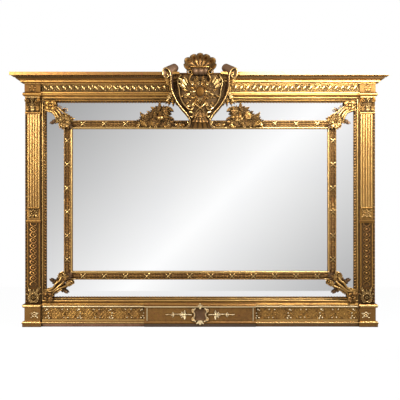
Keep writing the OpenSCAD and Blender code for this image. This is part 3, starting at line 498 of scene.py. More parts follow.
def acanthus(
    length: float,
    width: float,
    lobes: int = 4,
    rise: float = 6.0,
    curl: float = 0.0,
    root: float = 0.3,
    thick: float | None = None,
    rows: int = 26,
    cols: int = 11,
    sway: float = 0.0,
) -> Carving:
    """Carves a lobed leaf along X, with a midrib, hollows between its lobes and a curled tip.

    Args:
        length: From stalk to tip.
        width: At the widest.
        lobes: Lobes down each side.
        rise: Height of its back over the ground.
        curl: How far the tip comes forward.
        root: How wide it starts, from 0 to 0.5.
        thick: Thickness of a free leaf, or None for one that is solid down to the ground.
        rows: Stretches along it.
        cols: Points across it.
        sway: How far its tip swings sideways.

    Returns:
        The leaf, with its stalk at the origin.
    """
    u = np.linspace(0, 1, rows)[:, None]
    v = np.linspace(-1, 1, cols)[None, :]
    body = np.sin(np.pi * (root + (0.995 - root) * u**0.9)) ** 0.9
    run = (lobes * (u + 0.02)) % 1.0
    lobe = np.minimum(1.25 * run**0.6 * (1 - smooth(run, 0.74, 1.0)), 1.0)
    scallop = 0.52 + 0.48 * lobe**0.8
    half = 0.5 * width * body * scallop
    x = length * (u + 0.20 * np.abs(v) ** 1.6 * (1 - u) * (0.3 + 0.7 * lobe))
    z = v * half + sway * u**2
    crown = 1 - 0.75 * v**2
    fold = lobe**0.7 * np.abs(v) ** 0.8
    rib = np.exp(-((v / 0.16) ** 2))
    d = (
        rise
        * (0.2 + 0.45 * crown + 0.45 * fold + 0.28 * rib * (1 - u))
        * np.sin(np.pi * np.clip(0.12 + 0.83 * u, 0, 1)) ** 0.35
    )
    d = d + curl * smooth(u, 0.45, 1.0) ** 1.3
    # Darker in the hollows between lobes, in the grooves beside the midrib and towards the stalk: painted
    # shade.
    low = (
        0.85 * (1 - lobe) ** 0.8 * np.abs(v) ** 0.4
        + 0.45 * np.exp(-(((np.abs(v) - 0.3) / 0.13) ** 2))
        + 0.25 * (1 - u)
    )
    found = Carving()
    if thick is None:
        found.relief(*grid(x, d, z, low), -1.5)
    else:
        found.leaf_sheet(*grid(x, d, z, low), thick)
    return found


def rosette(radius: float, petals: int, rise: float, button: float = 0.26) -> Carving:
    """Carves a round flower with a button and cupped petals, with painted shade in the joints between the
    petals and round the button.
    """
    r = np.linspace(0.03, 1, 12)[:, None]
    a = np.linspace(0, 2 * math.pi, petals * 8, endpoint=False)[None, :]
    petal = np.abs(np.cos(petals * a / 2))
    edge = radius * (0.80 + 0.20 * petal**0.7)
    arch = 0.35 + 0.65 * np.sin(np.pi * np.clip((r - button) / (1.02 - button), 0, 1))
    cup = smooth(r, button, button + 0.12) * arch
    dome = 1.15 * np.sqrt(np.clip(1.001 - (r / button) ** 2, 0, 1)) + 0.2
    d = rise * np.where(r < button, dome, cup * (0.45 + 0.55 * petal**0.5))
    low = 0.9 * (1 - petal) ** 0.7 * (r > button) + 0.9 * np.exp(-(((r - button) / 0.07) ** 2))
    found = Carving()
    found.disc(*grid(edge * r * np.cos(a), d, edge * r * np.sin(a), low), -1.0)
    return found


def ridge_strip(
    profile: Sequence[Flat],
    start: float,
    end: float,
    step: float,
    carve: Callable[[np.ndarray, np.ndarray], tuple],
    floor: float,
) -> Carving:
    """Carves a repeating pattern over a moulding that runs along X.

    Args:
        profile: Section of the moulding, as stand-off and height.
        start: Where it starts.
        end: Where it ends.
        step: Spacing of the cuts along it.
        carve: Gives the height over the profile, and how deep each point lies, from the run and the share
            of the profile.
        floor: Stand-off of the flat back.

    Returns:
        The strip.
    """
    p = np.asarray(profile, float)
    along = np.gradient(p, axis=0)
    out = np.stack([along[:, 1], -along[:, 0]], -1)
    out /= np.linalg.norm(out, axis=1, keepdims=True)
    s = np.linspace(start, end, max(2, int(abs(end - start) / step)))[:, None]
    t = np.linspace(0, 1, len(p))[None, :]
    height, low = carve(s, t)
    d = p[None, :, 0] + out[None, :, 0] * height
    z = p[None, :, 1] + out[None, :, 1] * height
    found = Carving()
    found.relief(*grid(s, d, z, low), floor)
    return found


# ---- Finishes ----


class Sheet:
    """Sets shader nodes down in a tree and joins them."""

    def __init__(self, tree: bpy.types.NodeTree) -> None:
        """Takes the tree to fill."""
        self.tree = tree

    def add(self, kind: str, inputs: dict | None = None, **settings: object) -> bpy.types.Node:
        """Adds a node.

        Args:
            kind: The node's type, without its ShaderNode prefix.
            inputs: Values or sockets for its inputs, by name or number.
            **settings: The node's own settings.

        Returns:
            The node.
        """
        node = self.tree.nodes.new("ShaderNode" + kind)
        for key, value in settings.items():
            setattr(node, key, value)
        for key, value in (inputs or {}).items():
            if isinstance(value, Socket):
                self.tree.links.new(value, node.inputs[key])
            else:
                node.inputs[key].default_value = value
        return node

    def math(self, kind: str, a: object, b: object = 0.0, clamp: bool = False) -> Socket:
        """Returns the result of one sum."""
        return self.add("Math", {0: a, 1: b}, operation=kind, use_clamp=clamp).outputs[0]

    def plus(self, a: object, b: object, clamp: bool = False) -> Socket:
        """Returns a + b."""
        return self.math("ADD", a, b, clamp)

    def minus(self, a: object, b: object, clamp: bool = False) -> Socket:
        """Returns a - b."""
        return self.math("SUBTRACT", a, b, clamp)

    def times(self, a: object, b: object) -> Socket:
        """Returns a times b."""
        return self.math("MULTIPLY", a, b)

    def ramp(
        self, value: object, low: float, high: float, to_low: float = 0.0, to_high: float = 1.0
    ) -> Socket:
        """Returns a soft step from to_low to to_high as value goes from low to high."""
        inputs = {"Value": value, 1: low, 2: high, 3: to_low, 4: to_high}
        return self.add("MapRange", inputs, interpolation_type="SMOOTHSTEP").outputs[0]

    def mix(self, share: object, a: object, b: object) -> Socket:
        """Returns a mix of two colours."""
        return self.add("Mix", {0: share, 6: a, 7: b}, data_type="RGBA").outputs[2]

    def noise(self, where: object, scale: float, detail: float = 4.0, rough: float = 0.55) -> Socket:
        """Returns a noise value."""
        inputs = {"Vector": where, "Scale": scale, "Detail": detail, "Roughness": rough}
        return self.add("TexNoise", inputs).outputs[0]

    def where(self) -> Socket:
        """Returns the place on the object."""
        return self.add("TexCoord").outputs["Object"]

    def choose(self, share: object, a: object, b: object) -> Socket:
        """Returns a mix of two values."""
        return self.add("Mix", {0: share, 2: a, 3: b}, data_type="FLOAT").outputs[0]

    def bump(self, height: object, strength: float, distance: float) -> Socket:
        """Returns the normal of a rough surface."""
        inputs = {"Height": height, "Strength": strength, "Distance": distance}
        return self.add("Bump", inputs).outputs["Normal"]

    def reflected(self, path: bpy.types.Node) -> Socket:
        """Returns 1 for light that a glossy or clear surface sends on, and 0 for all other."""
        return self.math("MAXIMUM", path.outputs["Is Glossy Ray"], path.outputs["Is Transmission Ray"])

    def principled(self, inputs: dict) -> None:
        """Sets down a Principled shader, and the output that shows it."""
        self.add("OutputMaterial", {"Surface": self.add("BsdfPrincipled", inputs).outputs[0]})


def rgba(colour: Colour) -> tuple[float, float, float, float]:
    """Returns the colour with full alpha."""
    return (*colour, 1.0)


def blank(name: str) -> tuple[bpy.types.Material, Sheet]:
    """Returns a new material and its empty sheet."""
    made = bpy.data.materials.new(name)
    made.use_nodes = True
    made.node_tree.nodes.clear()
    return made, Sheet(made.node_tree)


def gilding_group() -> bpy.types.NodeTree:
    """Builds the shared look of old leaf: gold, bole where it is rubbed, and dark brown in the recesses,
    partly old wash and partly painted shade.
    """
    tree = bpy.data.node_groups.new("old_leaf", "ShaderNodeTree")
    for way, kind, names in (
        ("INPUT", "Color", ("Leaf", "Bole", "Umber")),
        ("INPUT", "Float", ("Recess", "Wear", "Toning", "Smoothness")),
        ("OUTPUT", "Color", ("Color",)),
        ("OUTPUT", "Float", ("Metal", "Roughness", "Height")),
    ):
        for name in names:
            tree.interface.new_socket(name=name, in_out=way, socket_type="NodeSocket" + kind)
    sheet = Sheet(tree)
    given = tree.nodes.new("NodeGroupInput").outputs
    where = sheet.where()
    broad = sheet.noise(where, 7.0, 3.0)
    patchy = sheet.noise(where, 55.0, 5.0, 0.6)
    fine = sheet.noise(where, 330.0, 4.0, 0.65)
    # How dark each point goes: the recess and ambient occlusion, which paint shade, plus random blotches of
    # old wash.
    grime_and_shade = sheet.plus(given["Recess"], sheet.times(sheet.minus(patchy, 0.5), 0.9))
    grime_and_shade = sheet.plus(grime_and_shade, sheet.times(sheet.minus(broad, 0.55), 0.8))
    toned = sheet.ramp(sheet.plus(grime_and_shade, given["Toning"]), 0.18, 1.0)
    rubbed = sheet.plus(sheet.times(patchy, 0.55), sheet.times(fine, 0.45))
    rubbed = sheet.plus(rubbed, sheet.times(given["Wear"], 0.25))
    rubbed = sheet.times(sheet.ramp(rubbed, 0.60, 0.70), sheet.ramp(given["Recess"], 0.15, 0.6, 1.0, 0.0))
    reddened = sheet.mix(0.45, given["Leaf"], given["Bole"])
    warm = sheet.mix(sheet.ramp(broad, 0.35, 0.65, 0.0, 0.35), given["Leaf"], reddened)
    aged = sheet.mix(sheet.times(rubbed, 0.75), warm, given["Bole"])
    colour = sheet.mix(sheet.times(toned, 0.94), aged, given["Umber"])
    metal = sheet.minus(1.0, sheet.times(toned, 0.75))
    metal = sheet.minus(metal, sheet.times(rubbed, 0.35), True)
    rough = sheet.plus(sheet.minus(0.62, given["Smoothness"]), sheet.times(toned, 0.28))
    rough = sheet.plus(rough, sheet.times(sheet.minus(fine, 0.5), 0.25), True)
    height = sheet.plus(sheet.times(patchy, 0.6), sheet.times(fine, 0.4))
    gone = tree.nodes.new("NodeGroupOutput").inputs
    for name, value in (("Color", colour), ("Metal", metal), ("Roughness", rough), ("Height", height)):
        tree.links.new(value, gone[name])
    return tree


@dataclass(frozen=True)
class GiltFinish:
    """One way in which leaf was laid, burnished, rubbed and darkened, and how much painted light or shade it
    carries.
    """

    name: str
    leaf: Colour
    bole: Colour = (0.23, 0.070, 0.035)
    umber: Colour = (0.050, 0.026, 0.010)
    wear: float = 0.3
    toning: float = 0.0
    smoothness: float = 0.25
    bump: float = 0.35
    hollow: float = 1.5

    def material(self, old_leaf: bpy.types.NodeTree) -> bpy.types.Material:
        """Returns the finish as a material.

        Args:
            old_leaf: The shared node group.

        Returns:
            The material.
        """
        made, sheet = blank(self.name)
        deep = sheet.add("Attribute", attribute_name=RECESS).outputs["Fac"]
        # Ambient occlusion, weighted by hollow, darkens hollows and corners: painted shade, added to the
        # recess.
        shade = sheet.add("AmbientOcclusion", {"Distance": 0.03}, samples=6).outputs["AO"]
        shade = sheet.times(sheet.minus(1.0, shade), self.hollow)
        leaf = sheet.add("Group", node_tree=old_leaf)
        sheet.tree.links.new(sheet.plus(sheet.times(deep, 0.8), shade, True), leaf.inputs["Recess"])
        for name, value in (
            ("Leaf", rgba(self.leaf)),
            ("Bole", rgba(self.bole)),
            ("Umber", rgba(self.umber)),
            ("Wear", self.wear),
            ("Toning", self.toning),
            ("Smoothness", self.smoothness),
        ):
            leaf.inputs[name].default_value = value
        sheet.principled(
            {
                "Base Color": leaf.outputs["Color"],
                "Metallic": leaf.outputs["Metal"],
                "Roughness": leaf.outputs["Roughness"],
                "Normal": sheet.bump(leaf.outputs["Height"], self.bump, 0.0012),
                "Specular IOR Level": 0.2,
                "Specular Tint": rgba((1.0, 0.74, 0.42)),
            }
        )
        return made


# These finishes are one leaf in lighter and darker copies. Pale leaf is painted highlight; burnished and
# polished leaf are brighter, partly as burnished gilding is and partly as painted highlight; bronzed leaf is
# a darker copy, and shaded ground is painted shade. The rubbed, ruddy and bare ones show wear down to the
# bole.
GILDING = (
    GiltFinish("antique_leaf", (0.47, 0.245, 0.060), toning=0.06, smoothness=0.28),
    GiltFinish("burnished_leaf", (0.75, 0.47, 0.165), toning=-0.10, smoothness=0.34, wear=0.12),
    GiltFinish("bronzed_leaf", (0.33, 0.165, 0.045), toning=0.13, smoothness=0.28),
    GiltFinish("polished_leaf", (0.57, 0.335, 0.105), toning=-0.04, smoothness=0.32, wear=0.2, hollow=1.0),
    GiltFinish("pale_leaf", (0.88, 0.68, 0.38), toning=-0.2, smoothness=0.20, wear=0.05, hollow=0.8),
    GiltFinish("rubbed_leaf", (0.185, 0.100, 0.046), (0.105, 0.058, 0.036), wear=0.8, smoothness=0.14),
    GiltFinish("ruddy_bole", (0.29, 0.155, 0.095), (0.22, 0.095, 0.060), wear=0.8, smoothness=0.10),
    GiltFinish("varnished_leaf", (0.105, 0.048, 0.010), wear=0.1, smoothness=0.04),
    GiltFinish("bare_bole", (0.11, 0.078, 0.056), (0.10, 0.065, 0.05), wear=0.8, smoothness=0.10),
    GiltFinish("matt_leaf", (0.21, 0.105, 0.026), toning=0.08, smoothness=0.02, bump=0.5),
    GiltFinish("shaded_ground", (0.27, 0.120, 0.028), toning=0.24, smoothness=0.16),
)


@dataclass(frozen=True)
class Finishes:
    """Every material of the mirror, the gilt ones by the first word of their names."""

    antique: bpy.types.Material
    burnished: bpy.types.Material
    polished: bpy.types.Material
    bronzed: bpy.types.Material
    pale: bpy.types.Material
    rubbed: bpy.types.Material
    ruddy: bpy.types.Material
    varnished: bpy.types.Material
    bare: bpy.types.Material
    matt: bpy.types.Material
    shaded: bpy.types.Material
    silvering: bpy.types.Material
    pine: bpy.types.Material
    iron: bpy.types.Material

    @classmethod
    def make(cls) -> "Finishes":
        """Builds them all."""
        group = gilding_group()
        gilt = {finish.name.partition("_")[0]: finish.material(group) for finish in GILDING}
        return cls(**gilt, silvering=silver_glass(), pine=old_pine(), iron=black_iron())


def silver_glass() -> bpy.types.Material:
    """Returns silvered plate, very slightly uneven."""
    made, sheet = blank("silvered_plate")
    cloud = sheet.noise(sheet.where(), 3.0, 2.0)
    colour = sheet.mix(sheet.ramp(cloud, 0.3, 0.7), rgba((0.985, 0.988, 0.99)), rgba((0.97, 0.975, 0.985)))
    sheet.principled({"Base Color": colour, "Metallic": 1.0, "Roughness": 0.02})
    return made


def old_pine() -> bpy.types.Material:
    """Returns bare, darkened pine with grain along X and a few knots."""
    made, sheet = blank("old_pine")
    where = sheet.where()
    stretched = sheet.add("Mapping", {"Vector": where, "Scale": (2.0, 60.0, 60.0)}).outputs[0]
    grain = sheet.noise(stretched, 1.0, 6.0, 0.6)
    drawn_out = sheet.add("Mapping", {"Vector": where, "Scale": (12.0, 400.0, 400.0)}).outputs[0]
    pores = sheet.noise(drawn_out, 1.0, 3.0)
    stain = sheet.noise(where, 4.0, 3.0)
    colour = sheet.mix(sheet.ramp(grain, 0.3, 0.7), rgba((0.36, 0.21, 0.105)), rgba((0.21, 0.115, 0.055)))
    colour = sheet.mix(sheet.ramp(stain, 0.45, 0.75, 0.0, 0.6), colour, rgba((0.12, 0.070, 0.040)))
    rough = sheet.ramp(pores, 0.3, 0.7, 0.72, 0.9)
    sheet.principled({"Base Color": colour, "Roughness": rough, "Normal": sheet.bump(grain, 0.4, 0.0008)})
    return made


def black_iron() -> bpy.types.Material:
    """Returns dark wrought iron with a little rust."""
    made, sheet = blank("wrought_iron")
    rust = sheet.noise(sheet.where(), 160.0, 5.0)
    sheet.principled(
        {
            "Base Color": sheet.mix(
                sheet.ramp(rust, 0.52, 0.7), rgba((0.055, 0.050, 0.048)), rgba((0.16, 0.065, 0.030))
            ),
            "Metallic": sheet.ramp(rust, 0.5, 0.7, 0.9, 0.3),
            "Roughness": sheet.ramp(rust, 0.4, 0.7, 0.42, 0.75),
            "Normal": sheet.bump(rust, 0.4, 0.0004),
        }
    )
    return made


# ---- Sizes that the sub-assemblies share ----


@dataclass(frozen=True)
class Sizes:
    """Places that more than one sub-assembly uses, as in the part's source."""

    sight_x: float = 845.0
    sight_z0: float = 161.0
    sight_z1: float = 1231.0
    pilaster_in: float = 874.0
    pilaster: float = 76.0
    reed_x0: float = 879.0
    reed_x1: float = 949.0
    reed_z1: float = 1163.0
    plinth_h: float = 123.0
    architrave_z: float = 1262.0
    frieze_z: float = 1284.0
    cornice_z: float = 1329.0
    board_d: float = 50.2
    base_x: float = 867.0
    tablet_x: float = 305.0
    slip_x0: float = 703.0
    slip_x1: float = 750.0
    slip_z0: float = 256.0
    slip_z1: float = 1133.0
    slip_d: float = 68.0
    block_d: float = 96.0


S = Sizes()


def set_finish(node: bpy.types.Object, material: bpy.types.Material) -> None:
    """Puts one material in every slot of a CAD node."""
    if not node.material_slots:
        node.data.materials.append(material)
    for slot in node.material_slots:
        slot.material = material


class Glass:
    """The five silvered plates."""

    def dress(self, nodes: Nodes, finish: Finishes) -> None:
        """Gives each plate its silvering."""
        for name, node in nodes.items():
            if name.startswith("plate_"):
                set_finish(node, finish.silvering)


@dataclass(frozen=True)
class Slip:
    """The carved frame between the middle plate and the margins."""

    width: float = 47.0
    inner: float = 13.0
    outer: float = 42.0
    leaf_pitch: float = 20.0
    ribbon_pitch: float = 121.0

    def foliage(self, length: float) -> Carving:
        """Carves a run of bay leaves and berries along X, pointing away from its middle, outer edge up."""
        mid = (self.inner + self.outer) / 2
        ground = S.slip_d - 7
        leaf = acanthus(27, 12.5, lobes=2, rise=6.5, curl=2.5, root=0.12, rows=14, cols=7)
        berry = Carving()
        berry.ball(0, 0, 0, (2.8, 3.4, 2.8), 6, 8)
        found = Carving()
        half = int(length / 2 / self.leaf_pitch)
        for way in SIDES:
            for i in range(half):
                x = way * (i + 0.5) * self.leaf_pitch
                along = 0 if way > 0 else 180
                for off, swing in ((-9.5, -16), (9.5, 16), (0, 0)):
                    back = 10 if off else 0
                    turn = along + way * swing
                    found.put(leaf, x - way * back, ground, mid + off, turn, 5 if off else 9)
                for off in SIDES:
                    found.put(berry, x + way * 6, ground + 1, mid + off * 5.0)
        return found

    def ribbons(self, length: float) -> Carving:
        """Carves the ribbons that cross over the leaves at even steps."""
        mid = (self.inner + self.outer) / 2
        ground = S.slip_d - 7
        found = Carving()
        crossings = max(1, round(length / self.ribbon_pitch))
        for i in range(crossings):
            x = -length / 2 + (i + 0.5) * length / crossings
            t = np.linspace(-1, 1, 14)
            for way in SIDES:
                path = np.stack([x + 14 * t, ground + 10.0 - 5.0 * t**4, mid + way * 14.5 * t], -1)
                found.tube(path, 1.9, 1.9, 8, square=0.7)
        return found

    def dress(self, nodes: Nodes, finish: Finishes) -> None:
        """Carves all four sides."""
        # The slip's ground is in shaded ground: painted shade under the leaves.
        for name in ("slip_top", "slip_bottom", "slip_left", "slip_right"):
            set_finish(nodes[name], finish.shaded)
        wide, tall = 2 * S.slip_x1 - 2 * self.width, S.slip_z1 - S.slip_z0 - 2 * self.width
        mid_z = (S.slip_z0 + S.slip_z1) / 2
        for name, run, shift, spin in (
            ("top", wide, (0, 0, S.slip_z1 - self.width), 0),
            ("bottom", wide, (0, 0, S.slip_z0 + self.width), 180),
            ("right", tall, (S.slip_x0, 0, mid_z), -90),
            ("left", tall, (-S.slip_x0, 0, mid_z), 90),
        ):
            for word, carving, look in (
                ("leaves", self.foliage(run - 8), finish.bronzed),
                ("ribbons", self.ribbons(run), finish.burnished),
            ):
                piece = Carving()
                piece.put(carving, *shift, spin)
                piece.build(f"slip_{word}_{name}", Slot.GILT, look)
        for name, upright in (("top", False), ("bottom", False), ("right", True), ("left", True)):
            way = 1 if name in ("top", "right") else -1
            near = S.slip_x0 if upright else (S.slip_z1 - self.width if way > 0 else S.slip_z0 + self.width)
            start, end = (S.slip_z0, S.slip_z1) if upright else (-S.slip_x1, S.slip_x1)
            edge = near * way if upright else near
            for word, low, wide_by in (("bead", 0.4, 5.0), ("fillet", self.width - 8.0, 3.8)):
                trim = self.width - 9.5 if word == "bead" else 0.6
                section = [(d, edge + way * w) for d, w in half_round(S.slip_d - 6, low, wide_by, 10)]
                rail = bars((section, start + trim, end - trim, upright))
                rail.build(f"slip_{word}_{name}", Slot.BRIGHT, finish.burnished)


@dataclass(frozen=True)
class SightMouldings:
    """Pearls, hollows and fillets round the outer edge of the glass."""

    pearl: Flat = (5.6, 8.2)
    pitch: float = 15.9

    def pearls(self, start: Flat, end: Flat, d: float, radii: Flat) -> Carving:
        """Strings pearls on a thread between two points of the drawing."""
        run = math.dist(start, end)
        count = max(1, round(run / self.pitch))
        one = Carving()
        one.ball(0, 0, 0, (radii[0], radii[0], radii[1]), 8, 12)
        turn = math.degrees(math.atan2(end[1] - start[1], end[0] - start[0]))
        found = Carving()
        for i in range(count):
            t = (i + 0.5) / count
            x, z = (a + t * (b - a) for a, b in zip(start, end))
            found.put(one, x, d, z, turn)
        return found

    def section(self, *front: Flat) -> list[Flat]:
        """Returns a whole section, as distance from the sight edge and stand-off, from that of its front."""
        bed = [(0.0, 43.2), (0.0, 48.0), (2.0, 49.0), (6.5, 47.5), (13.0, 50.3)]
        return [*bed, *front, (front[-1][0], S.board_d), (10.8, S.board_d), (10.8, 43.2)]

    def dress(self, finish: Finishes) -> None:
        """Builds the mouldings, the beads on them and their pearls."""
        over, back = bend((17, 60), (17, 64), (23, 64), 6), bend((23, 64), (29, 64), (29, 60), 6)
        side = self.section(*bend((13, 51), (17, 51), (17, 58)), *over, *back)
        hollow = bend((17, 57), (17, 70), (24, 70))
        top = self.section(*bend((13, 51), (17, 51), (17, 57)), *hollow, (24, 78), (31, 78))
        roll, hollow = [(z, d) for d, z in half_round(64, 17, 6)], bend((29, 66), (29, 78), (44, 78))
        sill = self.section(*bend((13, 51), (17, 51), (17, 55)), *roll, *hollow, (44, 84), (56, 84))
        for way, word in zip(SIDES, WORDS):
            edge = [(d, way * (S.sight_x + w)) for d, w in fillet(60, 66.4, 19, 25)]
            piece = bars(
                ([(d, way * (S.sight_x + w)) for w, d in side], S.sight_z0, S.sight_z1, True, SHADED_BED),
                (edge, S.sight_z0 - 20, S.sight_z1 + 20, True),
            )
            piece.build(f"side_moulding_{word}", Slot.BRIGHT, finish.polished, f"sight_{word}")
            x = way * (S.sight_x + 8.6)
            string = self.pearls((x, S.sight_z0), (x, S.sight_z1), 53.0, self.pearl)
            string.build(f"pearls_{word}", Slot.BRIGHT, finish.bronzed)
        for name, section, half, node in (
            ("head", [(d, S.sight_z1 + w) for w, d in top], S.pilaster_in - 0.2, "sight_top"),
            ("sill", [(d, S.sight_z0 - w) for w, d in sill], S.base_x, "sill"),
        ):
            piece = bars((section, -half, half, False, SHADED_BED))
            piece.build(f"{name}_moulding", Slot.GILT, finish.antique, node)
        z0, z1 = S.sight_z0, S.sight_z1
        # The lit beads are in polished leaf and the shaded ones in antique leaf: painted highlight and
        # painted shade.
        lit = ((z0 - 25.6, 64.4, 5.4), (z0 - 12.8, 54.0, 3.0), (z1 + 18.4, 72.0, 6.0))
        toned = ((z1 + 7.2, 58.0, 5.4), (z0 - 47, 84.2, 4.4))
        for word, beads, look in (("lit", lit, finish.polished), ("toned", toned, finish.antique)):
            sections = [[(d - 5, z), *half_round(d, z, r), (d - 5, z + 2 * r)] for z, d, r in beads]
            piece = bars(*((section, -S.base_x, S.base_x) for section in sections))
            piece.build(f"sight_beads_{word}", Slot.GILT, look)
        # The sill's fillet is in pale leaf: painted highlight.
        lip = bars((fillet(82, 88.2, 107, 113.4), -S.base_x, S.base_x))
        lip.build("sill_fillet", Slot.GILT, finish.pale)
        for word, z in (("top", z1 + 3.6), ("bottom", z0 - 3.6)):
            string = self.pearls((-S.sight_x, z), (S.sight_x, z), 49.5, (3.4, 6.4))
            string.build(f"pearls_{word}", Slot.BRIGHT, finish.bronzed)


@dataclass(frozen=True)
class Pilaster:
    """A pilaster with its capital, reeds, boss, guilloche panel and wreath, drawn for the right."""

    mid: float = 914.0
    capital_x: float = 918.5
    bead_x: float = 955.0
    beads: int = 56
    panel_z0: float = 212.0
    panel_z1: float = 571.0
    boss_z: float = 623.5
    capital_z: float = 1178.0
    wreath_z: float = 160.0

    def edge_beads(self) -> Carving:
        """Strings beads down the outer edge."""
        found = Carving()
        one = Carving()
        one.ball(0, 0, 0, (5.8, 6.4, 7.0), 8, 10)
        foot = S.plinth_h + 5
        for i in range(self.beads):
            found.put(one, self.bead_x, 72, foot + (i + 0.5) * (S.reed_z1 - foot) / self.beads)
        return found

    def shadows(self) -> Carving:
        """Lays painted shade in the beds of the beads and in the joint beside the reeds."""
        bed = [(60, 948.9), (71.5, 948.9), (74.5, 951), (75.3, 955), (74.5, 959), (71.5, 961.1), (60, 961.1)]
        foot = S.plinth_h + 1
        return bars(
            (bed, foot, S.reed_z1, True, 1.0),
            (oblong(64.3, 76.4, 873.6, 879.2), foot, S.reed_z1, True, 1.0),
        )

    def ground(self) -> Carving:
        """Lays the ground of the panel and the wreath, and a strip under the guilloche, darkened as painted
        shade.
        """
        x0, x1 = S.reed_x0 + 0.3, S.reed_x1 - 0.3
        shade_strip = oblong(74, 78.6, x0 + 8, x1 - 8)
        found = Carving()
        found.block(x0, x1, S.plinth_h + 0.3, self.panel_z1, 72, 78.2)
        found.bar(shade_strip, self.panel_z0 + 2, self.panel_z1 - 1, True, 0.75)
        return found

    def borders(self) -> Carving:
        """Carves the panel's upright borders, the ledge over it, the boss's upper bead and the necking."""
        found = Carving()
        x0, x1, back = S.reed_x0, S.reed_x1, S.pilaster
        for a, b in ((x0, x0 + 7), (x1 - 7, x1)):
            bead = [(d + 80, a + w) for d, w in half_round(0, 0.2, 3.3, 8)]
            section = [(back, a), (80, a), *bead, (80, b), (back, b)]
            found.bar(section, self.panel_z0 + 4, self.panel_z1, True)
        cyma = bend((83, 569), (84, 575), (91, 576), 5)
        ledge = [(back, 569), (83, 569), *cyma, (94, 577), (94, 584), (back, 584)]
        found.bar(ledge, S.pilaster_in + 1, x1 + 4)
        for z0, z1, d, x_in, x_out, bead in (
            (647, 655.5, 86, 884, 944, (647.5, 3.6)),
            (1166, 1178, 84, 878, 951, (1166.2, 5.4)),
        ):
            found.bar([(back, z0), (d, z0), *half_round(d, *bead, 8), (d, z1), (back, z1)], x_in, x_out)
        return found

    def guilloche(self) -> Carving:
        """Carves two woven bands and the beads in their eyes."""
        found = Carving()
        pitch = 30.0
        z = np.arange(self.panel_z0 + 14, self.panel_z1 - 0.5, 2.0)
        phase = np.pi * (z - self.panel_z0 - 6) / pitch
        for way in SIDES:
            lift = 81 + 1.8 * way * np.cos(phase)
            path = np.stack([self.mid + way * 17.5 * np.sin(phase), lift, z], -1)
            found.tube(path, 3.0, 2.8, 8, square=0.75)
        eye = Carving()
        eye.ball(0, 0, 0, (8.2, 5.0, 8.6), 7, 12)
        for i in range(1, int((self.panel_z1 - self.panel_z0 - 6) / pitch)):
            found.put(eye, self.mid, 79, self.panel_z0 + 6 + (i + 0.5) * pitch)
        return found

    def wreath(self) -> Carving:
        """Carves two leafy branches round a bud, and the leaves that rise to the panel's corners."""
        found = Carving()
        small = acanthus(17, 10, lobes=2, rise=5, curl=3, rows=10, cols=7)
        for way in SIDES:
            turns = np.radians(np.linspace(-92, 78, 26))
            x, z = self.mid + way * 22 * np.cos(turns), self.wreath_z + 24 * np.sin(turns)
            found.tube(np.stack([x, 81 + 0 * turns, z], -1), 4.0, 4.6, 8)
            for i in range(8):
                a = math.radians(-80 + 21 * i)
                x, z = self.mid + way * 22 * math.cos(a), self.wreath_z + 24 * math.sin(a)
                for lean in (-28, 30):
                    turn = -80 + 21 * i + 90 + lean
                    found.put(small, x, 81, z, turn if way > 0 else 180 - turn, 14)
        found.put(rosette(12, 6, 11), self.mid, S.pilaster + 2, self.wreath_z)
        leaf = acanthus(46, 17, lobes=3, rise=7, curl=6, sway=5)
        for turn, far, size, flip in (
            (60, 20, 0.95, False),
            (120, 20, 0.95, True),
            (26, 24, 0.55, False),
            (154, 24, 0.55, True),
            (90, 22, 0.6, False),
        ):
            a = math.radians(turn)
            x, z = self.mid + far * math.cos(a), self.wreath_z + far * math.sin(a)
            found.put(leaf, x, S.pilaster + 2, z, turn, 6, size, flip)
        for way in SIDES:
            found.put(leaf, self.mid + way * 26, S.pilaster + 2, 196, 96 - 14 * way, 6, 0.5)
        return found

    def boss(self) -> Carving:
        """Carves the leafy flower between the reeds and the panel."""
        found = Carving()
        leaf = acanthus(34, 19, lobes=3, rise=7, curl=7)
        for turn in (38, 142, 218, 322):
            found.put(leaf, self.mid, S.pilaster, self.boss_z - 3, turn, 4)
        for turn in (90, 270, 0, 180):
            found.put(leaf, self.mid, S.pilaster + 2, self.boss_z, turn, 8, 0.78)
        found.put(rosette(16, 6, 10, button=0.34), self.mid, S.pilaster + 7, self.boss_z + 3, 22)
        return found

    def capital(self) -> Carving:
        """Carves the bell and the leaves on its flanks."""
        found = Carving()
        mid, foot, head = self.capital_x, self.capital_z, S.architrave_z
        back = S.pilaster
        flare = bend((86, foot), (86, head - 30), (98, head - 10))
        bell = [(back, foot), (86, foot), *flare, (98, head - 9), (back, head - 9)]
        # The bell lies at full recess: painted shade behind the leaves.
        found.bar(bell, 886, 951, recess=1.0)
        leaf = acanthus(44, 24, lobes=3, rise=8, curl=12)
        for out, up, turn, size in ((26, 2, 4, 1.0), (14, 24, 10, 0.85), (30, 30, 6, 0.7)):
            for way in SIDES:
                found.put(leaf, mid + way * out, 87, foot + up, 90 - way * turn, 6, size)
        return found

    def capital_lights(self) -> Carving:
        """Carves the capital's volutes, abacus bead, middle leaf and flower."""
        found = Carving()
        mid, foot, head = self.capital_x, self.capital_z, S.architrave_z
        roll = half_round(101, head - 8.6, 4.0, 8)
        found.bar([(S.pilaster, head - 9), (103, head - 9), *roll, (S.pilaster, head)], 877, 958)
        for way in SIDES:
            depth, across, deep = (np.linspace(*ends, 37) for ends in ((100, 106), (4.2, 2.2), (9, 4)))
            found.scroll(mid + way * 28, depth, head - 23, (13, 2.5), 90, -way * 1.5, 36, across, deep)
        leaf = acanthus(48, 26, lobes=3, rise=9, curl=14)
        found.add(leaf, [place(mid, 88, foot, 90, 6), place(mid, 92, foot + 20, 90, 8, 0.8)])
        found.put(rosette(10, 5, 7), mid, 101, head - 17)
        return found

